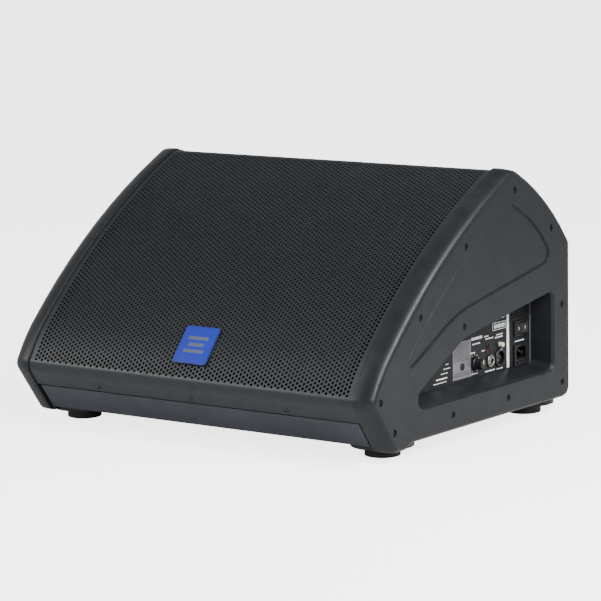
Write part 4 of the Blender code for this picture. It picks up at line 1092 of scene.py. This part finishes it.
# %% Rating plate
PLATE = (-6.5, 35.5, 73.0, 121.0)
PLATE_HOLE = (15.5, 88.0, 5.0)
LINE_HEIGHT = 0.9
LINE_SPACING = 2.2
RIB_SPACING = 3.6
plate_lines = []
line_z = PLATE[3] - 3.0
while line_z > PLATE[2] + 2.0:
    if abs(line_z - PLATE_HOLE[1]) > PLATE_HOLE[2] + 1.5:
        plate_lines.append((PLATE[0] + 2.0, PLATE[1] - 2.0, line_z, line_z + LINE_HEIGHT))
    line_z -= LINE_SPACING
panel_piece("rating_plate", [PLATE], label_plate, rise=0.5)
panel_piece("rating_lines", plate_lines, dark_print, rise=0.62)
plug = turned([
    (0.0, 0.4), (PLATE_HOLE[2], 0.4), (PLATE_HOLE[2], 0.9), (4.0, 1.0), (3.6, 0.75), (0.0, 0.7)], 32)
settle(plug, TO_RIGHT, PANEL_X, PLATE_HOLE[0], PLATE_HOLE[1])
make_piece("rating_plate_plug", plug, finishes["black_plastic"])
ribs = [(134.0, 176.0, 133.5 + RIB_SPACING * rib, 135.3 + RIB_SPACING * rib) for rib in range(5)]
panel_piece("panel_ribs", ribs, finishes["panel_enamel"], rise=1.4)
print("plate lines", len(plate_lines), "and ribs", len(ribs))

# %% [markdown]
# The mains rocker carries its two generic signs, a bar and a ring, as moulded print on the paddle. They
# ride with it, so that they turn when it is pressed.

# %% Rocker signs
ROCKER_TILT = math.radians(-9.0)
ROCKER_CENTRE = (154.5, 119.0)
SIGN_FROM_CENTRE = 6.6


def on_rocker(shape):
    """Take a shape from the paddle's own flat frame, where z is outwards, to its tilted place."""
    tilt = Matrix.Rotation(ROCKER_TILT, 4, "Z")
    return settle(shape, tilt @ TO_RIGHT, PANEL_X, *ROCKER_CENTRE)


bar_sign = rounded_block(4.4, 0.9, 3.22, 3.42, 0.3, 0.04)
bmesh.ops.translate(bar_sign, verts=bar_sign.verts, vec=(0.0, SIGN_FROM_CENTRE, 0.0))
make_piece("rocker_sign_bar", on_rocker(bar_sign), white_print, body="power_switch")
ring_sign = turned([(1.4, 3.2), (1.9, 3.2), (1.9, 3.42), (1.4, 3.42)], 32)
bmesh.ops.translate(ring_sign, verts=ring_sign.verts, vec=(0.0, -SIGN_FROM_CENTRE, 0.0))
make_piece("rocker_sign_ring", on_rocker(ring_sign), white_print, body="power_switch")
print("rocker signs ride on power_switch")

# %% [markdown]
# ## Floor and light
# The stage is a plain pale floor under a sky that is bright at the horizon and dim overhead, so the black
# wedge shows by its edges. One broad light from the upper left draws the grille's slope, and a low narrow
# one draws the roll of its nose. A long narrow one, hung beside the right cheek and in line with its curve,
# draws the bright line down the rounded edge. The floor glows for the camera only, so that it stays white
# and throws no extra light on the wedge.

# %% Floor
FLOOR_SIZE = 60.0
FLOOR_GLOW = 3.2
floor_shape = bmesh.new()
bmesh.ops.create_grid(floor_shape, x_segments=1, y_segments=1, size=FLOOR_SIZE / 2.0)
floor_mesh = bpy.data.meshes.new("floor")
floor_shape.to_mesh(floor_mesh)
floor_shape.free()
floor_paint = bpy.data.materials.new("floor_paint")
floor_paint.use_nodes = True
paint_tree = floor_paint.node_tree
paint = paint_tree.nodes["Principled BSDF"]
paint.inputs["Base Color"].default_value = (0.86, 0.86, 0.86, 1.0)
paint.inputs["Roughness"].default_value = 0.9
paint.inputs["Emission Color"].default_value = (1.0, 1.0, 1.0, 1.0)
ray = add_node(paint_tree, "LightPath")
glow = math_node(paint_tree, "MULTIPLY", ray.outputs["Is Camera Ray"], FLOOR_GLOW)
paint_tree.links.new(glow, paint.inputs["Emission Strength"])
floor_mesh.materials.append(floor_paint)
floor = bpy.data.objects.new("floor", floor_mesh)
bpy.context.scene.collection.objects.link(floor)
floor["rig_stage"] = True
print("floor", FLOOR_SIZE, "m square")

# %% Lights
STRIP_PLACE = (1.54, -0.33, 1.39)
STRIP_RUN = (0.31, -0.94, -0.68)
SKY_AT_HORIZON = (1.05, 1.06, 1.08, 1.0)
SKY_OVERHEAD = (0.24, 0.25, 0.27, 1.0)


def area_light(name, place, aim, size, power, tall=None, along=(0.0, 0.0, 1.0)):
    """A rectangular area light that faces a point, with its tall side along a direction."""
    light = bpy.data.lights.new(name, "AREA")
    light.shape = "RECTANGLE"
    light.size = size
    light.size_y = tall or size
    light.energy = power
    lamp = bpy.data.objects.new(name, light)
    lamp.location = place
    backwards = (Vector(place) - Vector(aim)).normalized()
    sideways = Vector(along).cross(backwards).normalized()
    upwards = backwards.cross(sideways)
    lamp.rotation_euler = Matrix((sideways, upwards, backwards)).transposed().to_euler()
    bpy.context.scene.collection.objects.link(lamp)


area_light("key", (-1.6, -1.8, 2.6), (0.0, 0.0, 0.15), 1.6, 20.0)
area_light("nose_strip", (-1.51, -1.79, 1.12), (0.0, -0.2, 0.1), 1.6, 26.0, tall=0.22)
area_light("strip", STRIP_PLACE, (0.27, -0.1, 0.2), 0.32, 62.0, tall=1.5, along=STRIP_RUN)
world = bpy.data.worlds.new("studio")
world.use_nodes = True
sky = world.node_tree
direction = add_node(sky, "TexCoord")
axes = add_node(sky, "SeparateXYZ")
sky.links.new(direction.outputs["Generated"], axes.inputs["Vector"])
height = between(sky, axes.outputs["Z"], 0.0, 0.75)
shade = mix_colour(sky, height, SKY_AT_HORIZON, SKY_OVERHEAD)
sky.links.new(shade, sky.nodes["Background"].inputs["Color"])
bpy.context.scene.world = world

# %% [markdown]
# ## The size
# The frame's own box and the dressed model's box are printed side by side. The dressed model has to
# stay inside the frame's own box.

# %% Sizes
model_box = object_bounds()
for label, box in (("cad", cad_box), ("model", model_box)):
    print(label, [[round(v, 4) for v in corner] for corner in box])
